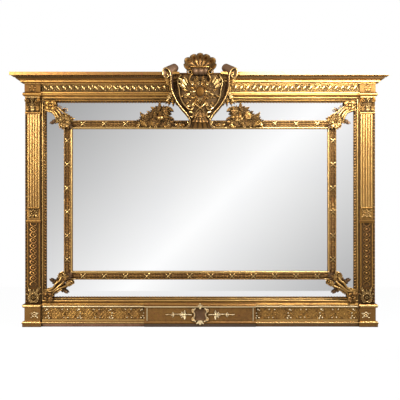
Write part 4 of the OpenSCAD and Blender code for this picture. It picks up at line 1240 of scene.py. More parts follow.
    def dress(self, nodes: Nodes, finish: Finishes) -> None:
        """Carves both pilasters."""
        for word in WORDS:
            set_finish(nodes[f"pilaster_{word}"], finish.antique)
            set_finish(nodes[f"reeding_{word}"], finish.polished)
        build_pairs(
            (
                ("edge_beads", self.edge_beads(), Slot.BRIGHT, finish.bronzed),
                ("pilaster_joints", self.shadows(), Slot.GILT, finish.shaded),
                ("panel_ground", self.ground(), Slot.GILT, finish.shaded, "panel_{}"),
                ("panel_borders", self.borders(), Slot.GILT, finish.antique, "panel_{}"),
                ("guilloche", self.guilloche(), Slot.GILT, finish.bronzed, "panel_{}"),
                ("wreath", self.wreath(), Slot.GILT, finish.burnished, "panel_{}"),
                ("flower_boss", self.boss(), Slot.DARK, finish.polished, "boss_{}"),
                ("capital_leaves", self.capital(), Slot.GILT, finish.antique, "capital_{}"),
                ("capital_volutes", self.capital_lights(), Slot.GILT, finish.burnished, "capital_{}"),
            )
        )


@dataclass(frozen=True)
class Entablature:
    """Architrave, egg frieze and cornice."""

    egg_pitch: float = 34.6
    egg_start: float = 866.0
    eggs_a_side: int = 20
    egg_face: float = 78.6
    block_x: float = 917.5
    flute_pitch: float = 12.4

    def eggs(self) -> Carving:
        """Carves a run of eggs in their shells with darts between, from the corner block inwards."""
        lower, upper = S.frieze_z + 8, S.cornice_z - 2
        pitch = self.egg_pitch
        height = upper - lower

        def carve(s: np.ndarray, t: np.ndarray) -> tuple[np.ndarray, np.ndarray]:
            """Gives the height and recess of eggs, shells and darts."""
            z = (t - 0.5) * height
            x = ((self.egg_start - s) / pitch % 1 - 0.5) * pitch + 0.42 * z
            x = (x / pitch + 0.5) % 1 * pitch - 0.5 * pitch
            egg = np.clip(1 - (x / 9.4) ** 2 - ((z - 2) / 16.4) ** 2, 0, 1)
            reach = np.sqrt((x / 14.6) ** 2 + ((z - 2) / 20.5) ** 2)
            shell = np.exp(-(((reach - 1.0) / 0.14) ** 2))
            h = np.maximum(10.0 * egg**0.42, 6.0 * shell)
            # The ground round the eggs and shells is darker: painted shade.
            return h, 0.85 - 0.95 * smooth(h, 0.5, 5.0)

        profile = [(self.egg_face, z) for z in np.linspace(lower, upper, 20)]
        inner = self.egg_start - pitch * self.eggs_a_side
        return ridge_strip(profile, inner, self.egg_start, pitch / 18, carve, 74)

    def flutes(self, start: float, end: float) -> Carving:
        """Carves upright flutes over the cornice's cove."""
        cove = [(140, 1361.0), *bend((140, 1361), (143, 1376), (163, 1376), 9)]

        def carve(s: np.ndarray, t: np.ndarray) -> tuple[np.ndarray, np.ndarray]:
            """Gives rounded tongues with narrow gaps."""
            x = np.abs((s / self.flute_pitch) % 1 - 0.5) * 2
            tongue = np.sqrt(np.clip(1 - (x / 0.70) ** 2, 0, 1)) * smooth(t, 0.0, 0.22)
            # The gaps between the tongues are darker: painted shade.
            return 0.2 + 4.4 * tongue, 1.15 - 1.1 * smooth(tongue, 0.1, 0.8)

        return ridge_strip(cove, start, end, self.flute_pitch / 8, carve, 130)

    def dress(self, nodes: Nodes, finish: Finishes) -> None:
        """Finishes the mouldings and carves what runs along them."""
        for name, look in (
            ("architrave", finish.antique),
            ("frieze_board", finish.antique),
            ("frieze_block_left", finish.matt),
            ("frieze_block_right", finish.matt),
            ("cornice_left", finish.antique),
            ("cornice_right", finish.antique),
        ):
            set_finish(nodes[name], look)
        block = Carving()
        block.put(rosette(20, 5, 5), self.block_x, S.block_d, (S.frieze_z + S.cornice_z) / 2, 90)
        inner = S.pilaster_in - 0.3
        ledge = [(96, 1279.6), (97.2, 1279.6), (97.2, 1285.4), (90, 1285.4), (88, 1279.6)]
        fillets = bars(
            ([(112, 1346.8), *half_round(117.6, 1346.8, 2.6, 8), (112, 1352.0)], 160, 982),
            ([(98, 1330), *half_round(100, 1330, 2.4, 8), (98, 1334.8)], 160, 964),
        )
        # Dark strips in shaded ground under the cove and over the architrave's ledge: painted shadow lines.
        shadow_strips = bars(
            (oblong(136, 141.4, 1356.4, 1361), 160, 1004, False, 1.0),
            ([(86, 1285.6), (93, 1285.6), (91, 1291), (86, 1291)], 120, inner, False, 1.0),
        )
        fascia = bars((oblong(162, 169.6, 1371.4, 1388.8), 160, 1033.4))
        build_pairs(
            (
                ("eggs_and_darts", self.eggs(), Slot.BRIGHT, finish.burnished, "egg_row_{}"),
                ("cove_flutes", self.flutes(114, 1004), Slot.GILT, finish.bronzed),
                ("cornice_fillets", fillets, Slot.GILT, finish.polished),
                ("architrave_ledge", bars((ledge, 120, inner)), Slot.GILT, finish.antique),
                ("cornice_fascia", fascia, Slot.GILT, finish.bronzed),
                ("cornice_quirks", shadow_strips, Slot.GILT, finish.shaded),
                ("corner_rosette", block, Slot.GILT, finish.bronzed),
            )
        )


@dataclass(frozen=True)
class Base:
    """Base frieze, its centre tablet, the plinths and the base moulding."""

    frieze_z0: float = 35.0
    frieze_z1: float = 105.0
    ground: float = 78.0
    tablet_d: float = 99.0
    tablet_z: float = 66.0
    fleurons: tuple[float, ...] = (314.0, 488.0, 662.0, 837.0)
    flowers: tuple[float, ...] = (394.0, 568.0, 742.0)
    buds: tuple[Point, ...] = (
        (3, 24, 5.2),
        (11, 19, 3.4),
        (-5, 4, 3.6),
        (-3, -12, 4.2),
        (-8, -24, 5.0),
        (9, -22, 4.2),
    )

    def scrolls(self) -> tuple[Carving, Carving]:
        """Carves the right-hand run of scrolls and fleurons, and the lit buds between them."""
        found, buds = Carving(), Carving()
        mid = (self.frieze_z0 + self.frieze_z1) / 2
        leaf = acanthus(28, 12, lobes=3, rise=5, curl=2)
        small = acanthus(16, 8, lobes=2, rise=4, rows=10, cols=5)
        for x in self.fleurons:
            for dx, dz, r in self.buds:
                buds.ball(x + dx, self.ground + 4, mid + dz, (1.15 * r, 0.6 * r, r), 7, 10)
            for way in SIDES:
                for up in SIDES:
                    winds = (-90 * up, way * up * 1.2, 22, 1.6, 2.4)
                    found.scroll(x + way * 16, self.ground + 1, mid + up * 16, (11, 2.5), *winds)
                found.put(small, x + way * 8, self.ground, mid, 90 - 90 * way, 4)
        for x in self.flowers:
            for way in SIDES:
                for up in SIDES:
                    winds = (90 * up, -way * up * 1.3, 26, 1.8, 2.6)
                    found.scroll(x + way * 15, self.ground + 1, mid + up * 15, (13, 2.5), *winds)
                    turn = 90 - 90 * way + way * up * 8
                    found.put(leaf, x + way * 20, self.ground, mid + up * 22, turn, 4, 0.75)
                buds.ball(x + way * 15, self.ground + 4, mid + 24, (4.4, 2.8, 4.0), 6, 8)
                buds.ball(x + way * 12 - 6, self.ground + 4, mid - 20, (4.0, 2.6, 3.6), 6, 8)
            found.put(rosette(7, 6, 5), x, self.ground, mid)
        return found, buds

    def stipple(self) -> Carving:
        """Carves the punched ground of the right-hand frieze."""

        def carve(s: np.ndarray, t: np.ndarray) -> tuple[np.ndarray, np.ndarray]:
            """Gives small dimples in staggered rows."""
            z = t * 68
            pitch = math.pi / 5.4
            dimple = np.sin(s * pitch + 2.1 * np.sin(z * 0.31)) * np.sin(z * pitch + 2.1 * np.sin(s * 0.23))
            # The dimples are darker: painted shade.
            return 0.3 + 1.6 * smooth(dimple, -0.5, 0.4), 0.7 * (1 - smooth(dimple, -0.6, 0.35))

        profile = [(self.ground, z) for z in np.linspace(self.frieze_z0 + 1, self.frieze_z1 - 1, 36)]
        return ridge_strip(profile, S.tablet_x + 2, S.base_x + 6, 2.0, carve, self.ground - 2)

    def tablet_board(self) -> Carving:
        """Carves the tablet's mouldings, which run on from those of the base a little in front of them."""
        d = self.tablet_d
        foot = [(75, 4), (d + 3, 4), (d + 3, 16), (d, 17), *half_round(d, 17.3, 5.2)]
        cove = [*bend((d, 28.5), (d - 2, 29), (d - 2, 32), 4), (d - 2, 103)]
        shelf = [*bend((d - 2, 103), (d - 1, 106.5), (d + 4, 107), 5), (d + 4, 116.5)]
        head = [*bend((d, 118), (d - 8, 119), (d - 9, 131), 6), (84.2, 132.5), (84.2, 119), (75, 119)]
        return bars(([*foot, *cove, *shelf, *head], -S.tablet_x, S.tablet_x))

    def tablet_field(self) -> Carving:
        """Carves the fine trellis on the tablet's ground."""

        def carve(s: np.ndarray, t: np.ndarray) -> tuple[np.ndarray, np.ndarray]:
            """Gives crossed ridges."""
            z = t * 66
            ridge = np.maximum(np.abs(np.sin((s + z) * math.pi / 9)), np.abs(np.sin((s - z) * math.pi / 9)))
            # The hollows between the ridges are darker: painted shade.
            return 0.3 + 1.3 * ridge**3, 0.75 * (1 - ridge**3)

        profile = [(self.tablet_d - 2, z) for z in np.linspace(35, 101, 34)]
        return ridge_strip(profile, -284, 284, 2.2, carve, self.tablet_d - 4)

    def bowl(self) -> Carving:
        """Carves the hollow of the tablet's cartouche."""
        share = np.linspace(-1, 1, 21)
        u, v = np.meshgrid(share, share, indexing="ij")
        d = self.tablet_d + 1 + 4 * np.maximum(np.abs(u), np.abs(v)) ** 4
        found = Carving()
        rows = grid(u * (27 + 6 * np.abs(v) ** 1.5), d, self.tablet_z + 32 * v, 0.3)
        found.relief(*rows, self.tablet_d - 3)
        return found

    def flower(self) -> Carving:
        """Carves the flower on the right-hand plinth."""
        x, d, z = 907, 100, 68
        found = Carving()
        found.put(rosette(17, 5, 8, button=0.34), x, d, z, 90)
        turns = (0.3, 2.84, 3.9, 5.5)
        spots = [place(x + 11 * math.cos(a), d, z + 11 * math.sin(a), math.degrees(a)) for a in turns]
        found.add(acanthus(16, 9, lobes=2, rise=4, curl=3), spots)
        return found

    def tablet(self) -> Carving:
        """Carves the cartouche, its scrolls and fleurons on the centre tablet."""
        found = Carving()
        mid, d = self.tablet_z, self.tablet_d
        leaf = acanthus(30, 15, lobes=3, rise=5, curl=3)
        for way in SIDES:
            rim = ((24, 6, -36), (38, 7, -26), (33, 7, -10), (30, 7, 4), (38, 7, 22), (24, 6, 36))
            found.tube(curve_through([(way * x, d + off, mid + z) for x, off, z in rim]), 4.2, 6.0, 10)
            for up in SIDES:
                found.scroll(way * 37, d + 6, mid + up * 25, (11, 2), -90 * up, way * up * 1.2, 26, 3.0, 5.5)
            for turn in (90, -90):
                found.put(leaf, way * 84, d, mid, turn, 3, 0.9)
            found.ball(way * 84, d + 1, mid, (6, 5, 7), 7, 10)
            line = ((46, 1, 0), (70, 2, 2), (84, 2, 0), (120, 2, 4), (186, 1, 0))
            stem = curve_through([(way * x, d + off, mid + z) for x, off, z in line])
            found.tube(stem, np.linspace(3.2, 1.8, len(stem)), 2.8, 8)
            bud = acanthus(30, 13, lobes=2, rise=5)
            for lean in (16, -16, 60, -60):
                turn = 90 - 90 * way + way * lean
                found.put(bud, way * 142, d, mid + 1, turn, 3, 0.55)
                found.put(bud, way * 92, d, mid, turn, 3, 0.7)
            for x in (104, 114, 124, 176, 186):
                found.ball(way * x, d + 1, mid + 2, (3.4, 3.6, 3.4), 6, 8)
            found.bar(oblong(d - 2, d + 2.5, way * 288, way * 292.5), 34, 103, True)
        above, below = ((90, 1.0), (55, 0.75), (125, 0.75)), ((-90, 0.8), (-40, 0.9), (-140, 0.9))
        for z, fan in ((102, above), (34, below)):
            found.add(leaf, [place(0, d + 5, z, turn, 6, size) for turn, size in fan])
        found.ball(0, d + 8, 101, (6, 6, 5), 7, 10)
        return found

    def dress(self, nodes: Nodes, finish: Finishes) -> None:
        """Finishes the base and carves its ornament."""
        for name in ("plinth_left", "plinth_right", "base_moulding"):
            set_finish(nodes[name], finish.bronzed)
        board = Carving()
        board.block(-873.8, 873.8, self.frieze_z0, self.frieze_z1, S.board_d, self.ground)
        board.build("base_board", Slot.DARK, finish.antique, "base_frieze")
        self.tablet_board().build("tablet_board", Slot.GILT, finish.bronzed, "centre_tablet")
        # The tablet's fillet is in pale leaf: painted highlight.
        lip = bars((oblong(99, 103.4, 107.2, 113.3), -S.tablet_x, S.tablet_x))
        lip.build("tablet_fillet", Slot.GILT, finish.pale, "centre_tablet")
        self.tablet_field().build("tablet_field", Slot.GILT, finish.bronzed, "centre_tablet")
        self.bowl().build("tablet_bowl", Slot.BRIGHT, finish.rubbed, "tablet_cartouche")
        run, buds = self.scrolls()
        shelf = [(76, 28.5), (83, 28.5), (82, 40.5), (76, 42)]
        beads = bars(
            ([(82, 17.5), *half_round(88, 17.5, 4.6), (82, 26.7)], S.tablet_x + 1, S.base_x),
            ([(96, 105), (101, 105), *half_round(102, 105.5, 8.2), (101, 122.6), (96, 122.6)], 874.5, 970),
            ([(96, 15), (101, 15), *half_round(102, 15.2, 8.2), (101, 32.4), (96, 32.4)], 874.5, 970),
        )
        # The buds and the plinth flower are in pale leaf: painted highlights.
        build_pairs(
            (
                ("base_stipple", self.stipple(), Slot.DARK, finish.antique),
                ("base_scrolls", run, Slot.GILT, finish.antique),
                ("base_buds", buds, Slot.GILT, finish.pale),
                ("plinth_flower", self.flower(), Slot.GILT, finish.pale),
                ("base_beads", beads, Slot.GILT, finish.burnished),
            )
        )
        shelves = bars((shelf, S.tablet_x + 1, S.base_x), (shelf, -S.base_x, -S.tablet_x - 1))
        shelves.build("base_shelves", Slot.GILT, finish.polished)
        # The tablet's carving is in pale leaf: painted highlight.
        self.tablet().build("tablet_carving", Slot.BRIGHT, finish.pale, "tablet_cartouche")
        for word, x0, x1, d, look in (
            ("left", -S.base_x, -S.tablet_x - 1, 90, finish.ruddy),
            ("right", S.tablet_x + 1, S.base_x, 90, finish.rubbed),
            ("middle", -S.tablet_x, S.tablet_x, 102, finish.bare),
        ):
            front, back = [(d + 0.4, 0.3), (d + 0.6, 16.2)], [(d - 4, 16.2), (d - 4, 4.3), (d - 8, 4.3)]
            worn = bars(([(d - 8, 0.3), *front, *back], x0, x1))
            worn.build(f"base_wear_{word}", Slot.DARK, look)


@dataclass(frozen=True)
class Clasp:
    """A leafy clasp across one corner of the glass, drawn along X from the outer moulding to the slip."""

    length: float = 205.0
    corner_x: float = 852.0
    slip_x: float = 700.0

    def body(self, upper: bool) -> Carving:
        """Carves the block in the corner, the broad leaf over it, and the leaves on its flanks."""
        found = Carving()
        found.bar(oblong(44, 75, -9, 11), 42, 106)
        blade = acanthus(168, 40, lobes=8, rise=12, curl=3, root=0.24, rows=72, cols=15)
        found.put(blade, 16, 76, 2, 0, 1.5)
        side = acanthus(44, 20, lobes=3, rise=6, curl=9, root=0.2, thick=4, rows=24, cols=9)
        for x, z, turn, size in ((112, 12, 58, 0.8), (128, 12, 50, 0.9), (142, 10, 66, 1.0)):
            found.add(side, [place(x, 80, z, turn, 10, size), place(x + 4, 82, -z, -turn, 12, size, True)])
        if upper:
            found.put(rosette(34, 4, 9, button=0.2), 38, 84, -5, 0)
            found.put(rosette(20, 4, 7, button=0.5), 38, 90, -5, 45)
        else:
            found.put(rosette(26, 4, 10, button=0.22), 24, 84, 2, 0)
            found.add(self.scale(), [place(34, 84, z, turn, 8, 0.75) for z, turn in ((20, 150), (-14, 215))])
        return found

    def ribs(self) -> Carving:
        """Carves the lower clasps' bright rims, which part into two scrolls."""
        found = self.curls(((153, 33, 17, -100, 1.3, 4.2), (156, -34, 16, 100, -1.3, 4.2)))
        for thick, *line in (
            (
                4.6, (30, 80, 42), (47, 87, 30), (60, 91, 19), (73, 94, 14), (90, 96, 17), (106, 96, 20),
                (128, 92, 17), (146, 87, 25),
            ),
            (
                4.6, (26, 80, 33), (43, 86, 24), (56, 92, 8), (69, 96, 2), (86, 98, 0), (103, 98, -1),
                (122, 96, -4), (142, 90, -2),
            ),
            (
                4.4, (38, 80, -18), (50, 86, -9), (62, 91, -6), (80, 94, -8), (95, 94, -12), (112, 92, -20),
                (134, 87, -30),
            ),
            (3.2, (60, 82, -20), (74, 87, -18), (90, 89, -22), (104, 88, -28)),
        ):
            self.rim(found, line, thick)
        for x, z, turn, size in ((134, 20, 50, 1.0), (138, -20, -50, 1.0), (150, 8, 16, 0.7)):
            found.put(self.scale(), x, 84, z, turn, 10, size)
        return found

    def cluster(self) -> Carving:
        """Carves the upper clasps' arched rims and the burst of pointed leaves by the slip."""
        found = self.curls(((102, -44, 11, -110, 1.3, 1.7), (76, -34, 8, -80, -1.2, 1.6)))
        for thick, *line in (
            (3.8, (28, 82, 38), (49, 88, 24), (71, 92, 13), (90, 93, 15), (108, 92, 24), (128, 88, 38)),
            (4.6, (56, 84, 10), (74, 90, 2), (92, 94, 4), (112, 94, 12)),
            (4.4, (58, 84, -12), (78, 92, -14), (98, 95, -12), (118, 95, -6)),
            (3.8, (60, 84, -24), (80, 90, -26), (101, 93, -28), (124, 92, -30), (142, 88, -34)),
        ):
            self.rim(found, line, thick)
        frond = acanthus(38, 19, lobes=3, rise=7, curl=10, root=0.15, thick=4, rows=24, cols=9)
        for count, start, size, d in ((9, 12, 1.0, 84), (6, 32, 0.66, 90)):
            for turn in np.arange(count) * 360 / count + start:
                a = math.radians(turn)
                long = size * (1.0 + 0.12 * math.sin(2.7 * turn))
                found.put(frond, 148 + 7 * math.cos(a), d, 3 + 7 * math.sin(a), turn, 12, long)
        found.put(rosette(8, 5, 7, button=0.4), 148, 98, 3)
        return found

    def rim(self, found: Carving, line: Sequence[Point], thick: float) -> None:
        """Adds a rim that swells along its middle."""
        path = curve_through(line, 7)
        t = np.linspace(0, 1, len(path))
        swell = 0.55 + 0.6 * np.sin(math.pi * (0.1 + 0.65 * t))
        found.tube(path, thick * swell, 5.0, 12, square=0.9)

    def scale(self) -> Carving:
        """Carves one broad leaf with a turned-up tip."""
        return acanthus(40, 30, lobes=3, rise=8, curl=15, root=0.3, thick=4, rows=24, cols=11)

    def curls(self, places: Iterable[tuple]) -> Carving:
        """Winds thin scrolls, each given as its place, radius, start, turns and thickness."""
        found = Carving()
        for x, z, r, start, turns, thick in places:
            found.scroll(x, 82, z, (r, 2.5), start, turns, 28, thick, thick + 3)
        return found

    def tip(self, upper: bool) -> Carving:
        """Carves the dark leaf on the corner of the slip, and two leaves that stand out over the glass."""
        found = Carving()
        found.put(acanthus(54, 46, lobes=4, rise=10, curl=3, root=0.3), 148, 75, 0, 0, 2)
        blade = acanthus(50, 23, lobes=2, rise=7, curl=4, root=0.3, thick=6, rows=24, cols=9)
        if upper:
            found.add(blade, [place(110, 72, 28, 104, 2, 0.86), place(98, 72, -26, -88, 2, 0.5)])
        else:
            found.add(blade, [place(103, 72, 14, 100, 2, 1.05), place(100, 72, -12, -80, 2, 1.1)])
        return found

    def dress(self, finish: Finishes) -> None:
        """Sets a clasp in each corner."""
        for word in WORDS:
            for upper, end in ((False, "bottom"), (True, "top")):
                corner_z = S.sight_z1 + 6 if upper else S.sight_z0 - 14
                slip_z = S.slip_z1 - 48 if upper else S.slip_z0 + 42
                run, climb = self.slip_x - self.corner_x, slip_z - corner_z
                turn = math.degrees(math.atan2(climb, run))
                matrix, shift = place(self.corner_x, 0, corner_z, turn, flip=not upper)
                matrix = matrix @ np.diag([math.hypot(run, climb) / self.length, 1.0, 1.0])
                for name, carving, look in (
                    ("leaves", self.body(upper), finish.antique if upper else finish.bronzed),
                    ("ribs", self.cluster() if upper else self.ribs(), finish.polished),
                    ("tip", self.tip(upper), finish.rubbed),
                ):
                    piece = Carving()
                    piece.add(carving, [(matrix, shift)])
                    corner = f"{end}_{word}"
                    sided(piece, word).build(f"clasp_{name}_{corner}", Slot.GILT, look, f"clasp_{corner}")


@dataclass(frozen=True)
class Crest:
    """The cartouche with its straps, cabochon, shell and foot, drawn for the right-hand side."""

    cabochon_z: float = 1284.0
    hinge_z: float = 1404.0
    shell_lobes: int = 7
    shell_spread: float = 98.0
    hollow_d: float = 112.0
    outline: tuple[tuple[float, ...], ...] = (
        (1122, 1144, 1168, 1194, 1227, 1262, 1295, 1328, 1374),
        (50, 55, 70, 92, 116, 134, 145, 147, 138),
    )
    field: tuple[tuple[float, ...], ...] = (
        (1122, 1160, 1187, 1201, 1224, 1262, 1295, 1328, 1374),
        (20, 34, 57, 74, 94, 110, 114, 120, 104),
    )
    reach: tuple[tuple[float, ...], ...] = (
        (1168, 1200, 1224, 1262, 1295, 1328, 1350),
        (30, 66, 86, 100, 106, 112, 104),
    )

    def edge(self) -> np.ndarray:
        """Returns the strap's front edge, from the eye of its volute down to the flare of the foot."""
        return curve_through(
            [
                (177, 176, 1373), (171, 177, 1367), (178, 179, 1358), (191, 181, 1358), (200, 182, 1370),
                (202, 183, 1388), (195, 183, 1404), (180, 181, 1406), (166, 178, 1392), (159, 175, 1364),
                (158, 169, 1328), (155, 163, 1295), (143, 157, 1262), (125, 151, 1227), (100, 146, 1194),
                (77, 141, 1168), (61, 137, 1144), (55, 134, 1122), (58, 126, 1103), (68, 116, 1093),
                (80, 108, 1094),
            ],
            7,
        )

    def strap(self) -> Carving:
        """Carves the strap, rolled over at its head and edge-on below."""
        front = self.edge()
        t = np.linspace(0, 1, len(front))
        head = 1 - smooth(t, 0.40, 0.455)
        aside = -46 * head - 8 * (1 - head)
        deep = -36 * head - 46 * (1 - head) + 26 * smooth(t, 0.82, 1.0)
        rise = 24 * head - 10 * smooth(t, 0.38, 0.46) * head
        found = Carving()
        found.band(front, front + np.stack([aside, deep, rise], -1), -4.5, 6)
        return found

    def bead(self) -> Carving:
        """Carves the bright bead on the strap's front edge, and the eye of the volute."""
        front = self.edge()
        t = np.linspace(0, 1, len(front))
        found = Carving()
        found.tube(front, 3.2 - 0.6 * t, 3.6, 10)
        found.ball(177, 172, 1372, (6, 9, 6), 7, 10)
        rim = curve_through(
            [
                (103, 140, 1374), (117, 144, 1356), (121, 145, 1328), (114, 145, 1295), (110, 144, 1262),
                (94, 142, 1224), (74, 140, 1201), (57, 138, 1187),
            ],
            7,
        )
        found.tube(rim, 4.4, 8.0, 10)
        for line in (
            [
                (40, 158, 1378), (52, 160, 1366), (57, 158, 1348), (52, 154, 1331), (41, 150, 1322),
                (34, 148, 1328), (38, 149, 1337),
            ],
            [
                (74, 141, 1200), (60, 146, 1188), (44, 146, 1186), (36, 143, 1198), (44, 141, 1207),
                (52, 140, 1200),
            ],
            [(34, 140, 1226), (22, 148, 1212), (4, 153, 1198), (-12, 152, 1184), (-24, 146, 1170)],
            [(57, 140, 1176), (42, 146, 1168), (34, 144, 1156), (42, 140, 1146), (52, 138, 1150)],
        ):
            path = curve_through(line, 6)
            found.tube(path, np.linspace(5.0, 2.6, len(path)), np.linspace(8, 5, len(path)), 10)
        return found

    def shield(self) -> Carving:
        """Carves the body: a swelling field, and the deep hollow between it and the straps."""
        found = Carving()
        rows = np.linspace(1122, 1374, 60)
        outer = np.interp(rows, *self.outline)
        inner = np.interp(rows, *self.field)
        v = np.linspace(-1, 1, 61)[None, :]
        x = v * outer[:, None]
        share = np.abs(x) / inner[:, None]
        field = 126 + 15 * np.sqrt(np.clip(1 - share**2, 0, 1)) * smooth(rows, 1130, 1190)[:, None]
        field = field - 26 * smooth(rows, 1338, 1356)[:, None] * (1 - smooth(np.abs(x), 40, 52))
        hollow = self.hollow_d + 8 * smooth(share, 1.18, 1.3)
        d = np.where(share < 1, field, hollow)
        # The field lies at a recess of 0.75, deeper at its sunk top, and the hollow beside the straps at 1:
        # painted shade.
        low = np.where(share < 1, 0.75 + 0.25 * smooth(rows, 1334, 1350)[:, None] * (np.abs(x) < 50), 1.0)
        found.relief(*grid(x, d, rows[:, None], low), 88)
        return found

    def leaves(self, bright: bool) -> Carving:
        """Carves the right-hand half of the shield's acanthus, either its lit leaves, as painted highlight,
        or its shaded ones, as painted shade.
        """
        found = Carving()
        leaf = acanthus(30, 15, lobes=3, rise=8, curl=11, root=0.2, thick=4, rows=24, cols=9)
        count = 0
        for ring, (across, up, many, size) in enumerate(
            ((25, 36, 8, 0.72), (40, 49, 9, 0.85), (56, 62, 10, 0.9), (72, 74, 11, 0.95), (88, 86, 10, 0.95))
        ):
            for i in range(many):
                turn = -84 + 164 * (i + 0.5 * (ring % 2)) / (many - 0.5)
                a = math.radians(turn)
                x, z = across * math.cos(a), self.cabochon_z - 6 * ring + up * math.sin(a)
                count += 1
                if x > np.interp(z, *self.reach) - 12 or z > 1340 or z < 1186 or (
                    56 < x < 84 and 1290 < z < 1330
                ):
                    continue
                lit = (2 * count + ring) % (3 if ring else 2) == 0
                if lit == bright:
                    swirl = turn + 34 * math.sin(2.4 * count)
                    long = size * (0.85 + 0.2 * math.sin(1.7 * count))
                    odd = count % 2
                    found.put(leaf, x, 135 + 4 * (count % 3), z, swirl, 4 + 9 * odd, long, not odd)
        for i in range(22):
            a = math.radians(-92 + 8.4 * i)
            far = (1.0, 1.35, 1.75)[i % 3]
            x, z = 33 * far * math.cos(a), self.cabochon_z - 4 + 45 * far**0.8 * math.sin(a)
            if (i % 2 == 0) == bright and z < 1336 and x > 4:
                winds = (40 * i, 1.1 - 2.2 * (i % 2), 20, 2.1, 4.5)
                found.scroll(x, 147.0 - 0.12 * abs(x), z, (9.0, 2.0), *winds)
        if bright:
            wing = acanthus(64, 27, lobes=5, rise=10, curl=12, root=0.2, thick=5, rows=34)
            found.put(wing, 74, 144, 1316, 44, 8, 0.95)
            found.put(wing, 80, 146, 1302, 36, 10, 0.75)
            found.put(wing, 66, 144, 1330, 58, 8, 0.6)
            flank = acanthus(66, 24, lobes=3, rise=8, curl=10, thick=5)
            found.put(flank, 152, 122, 1286, -62, 4, 0.95)
        else:
            flank = acanthus(70, 26, lobes=4, rise=8, curl=10, thick=5, rows=30)
            for x, d, z, turn, size in (
                (148, 112, 1272, -88, 0.85),
                (142, 108, 1256, -112, 0.6),
                (186, 166, 1362, -104, 0.72),
                (160, 104, 1262, -70, 0.7),
                (168, 100, 1258, -50, 0.6),
            ):
                found.put(flank, x, d, z, turn, 4, size)
        return found

    def small_scrolls(self) -> Carving:
        """Carves the curls on the slip beside the foot."""
        found = Carving()
        for x, r, turn in ((92, 12, 1), (122, 10, -1)):
            found.scroll(x, 74, 1106, (r, 2.5), -90 * turn, turn * 1.3, 26, 3.2, 6)
        leaf = acanthus(40, 18, lobes=3, rise=6, curl=6)
        found.add(leaf, [place(100, 70, 1104, 8, 4), place(84, 72, 1100, 30, 4, 0.7)])
        return found

    def cabochon(self) -> Carving:
        """Turns the smooth oval in the middle."""
        found = Carving()
        found.ball(0, 143, self.cabochon_z, (22, 8, 29), 14, 28)
        return found

    def foot(self) -> Carving:
        """Carves the waist like an inverted lily, over a fluted foot."""
        found = Carving()
        rows = np.linspace(1118, 1196, 24)[:, None]
        half = np.interp(rows, [1118, 1128, 1142, 1160, 1178, 1196], [52, 46, 36, 27, 23, 20])
        v = np.linspace(-1, 1, 41)[None, :]
        fold = 2.5 * np.cos(5 * math.pi * v) * smooth(-rows, -1160, -1124)
        d = 118 + 26 * np.sqrt(np.clip(1 - 0.98 * v**2, 0, 1)) + fold + 6 * smooth(-rows, -1140, -1120)
        # The folds of the lily are darker: painted shade.
        low = 0.35 * (1 - np.cos(5 * math.pi * v)) * smooth(-rows, -1170, -1130) + 0.1
        found.relief(*grid(half * v, d, rows, low), 96)
        rows = np.linspace(1088, 1122, 12)[:, None]
        half = np.interp(rows, [1088, 1098, 1122], [60, 52, 47])
        v = np.linspace(-1, 1, 71)[None, :]
        flute = np.abs(np.cos(2 * math.pi * v))
        swell = np.sqrt(flute) * np.sqrt(np.clip(1.02 - v**2, 0, 1))
        d = np.interp(rows, [1088, 1122], [94, 118]) + 15 * swell
        petal = acanthus(44, 22, lobes=3, rise=8, curl=9, thick=4)
        for x, turn, size in (
            (0, -90, 1.0),
            (17, -66, 0.9),
            (-17, -114, 0.9),
            (30, -48, 0.7),
            (-30, -132, 0.7),
        ):
            found.put(petal, x * 0.8, 144 - 0.15 * abs(x), 1172, turn, 5, size)
        # The gaps between the flutes are darker: painted shade.
        found.relief(*grid(half * v, d, rows, np.clip(1.25 - 1.3 * flute, 0, 1)), 69)
        return found

    def shell(self) -> Carving:
        """Carves a scallop of seven ribs, hollow towards the room, with a thick rim that rolls forward."""
        found = Carving()
        lobes, spread = self.shell_lobes, self.shell_spread
        a = np.linspace(-spread, spread, 141)[:, None]
        r = np.linspace(0.12, 1, 24)[None, :]
        lobe = np.abs(np.sin(lobes * (a + spread) / (2 * spread) * math.pi))
        reach = np.interp(np.abs(a), [0, 30, 56, 74, 86, 98], [86, 88, 99, 97, 84, 72])
        reach = reach * (0.90 + 0.10 * lobe**0.6)
        turn = np.radians(a)
        x = reach * r * np.sin(turn)
        z = self.hinge_z + reach * r * np.cos(turn)
        rib = smooth(r, 0.10, 0.4)
        d = 150 - 12 * np.sin(math.pi * np.clip(r * 1.1, 0, 1)) + 26 * smooth(r, 0.60, 0.97)
        d = d + (5 + 5 * r) * rib * lobe**0.7 - 8 * smooth(r, 0.95, 1.0)
        # The hollows between the lobes and the rolled rim are darker: painted shade.
        low = 0.9 * (1 - lobe) ** 0.7 + 0.62 * smooth(r, 0.74, 0.92)
        found.leaf_sheet(*grid(x, d, z, low), 9)
        found.block(-60, 60, 1380, 1410, 121, 141, 3)
        return found

    def lip(self) -> Carving:
        """Carves the bright lip across the foot of the shell."""
        found = Carving()
        line = [(-58, 148, 1421), (-44, 158, 1417), (0, 162, 1416), (44, 158, 1417), (58, 148, 1421)]
        found.tube(curve_through(line, 6), 3.2, 6, 10)
        for way in SIDES:
            found.scroll(way * 55, 158, 1390, (19, 5), 90 + 6 * way, -way * 1.35, 34, 3.8, 10, 10)
        return found

    def neck(self) -> Carving:
        """Carves the folded roll under the shell."""
        found = Carving()
        rows = np.linspace(1373, 1418, 20)[:, None]
        v = np.linspace(-1, 1, 61)[None, :]
        fold = np.cos(3 * math.pi * v)
        d = 136 + 26 * np.sqrt(np.clip(1 - ((rows - 1396) / 23.5) ** 2, 0, 1)) + 3.5 * fold
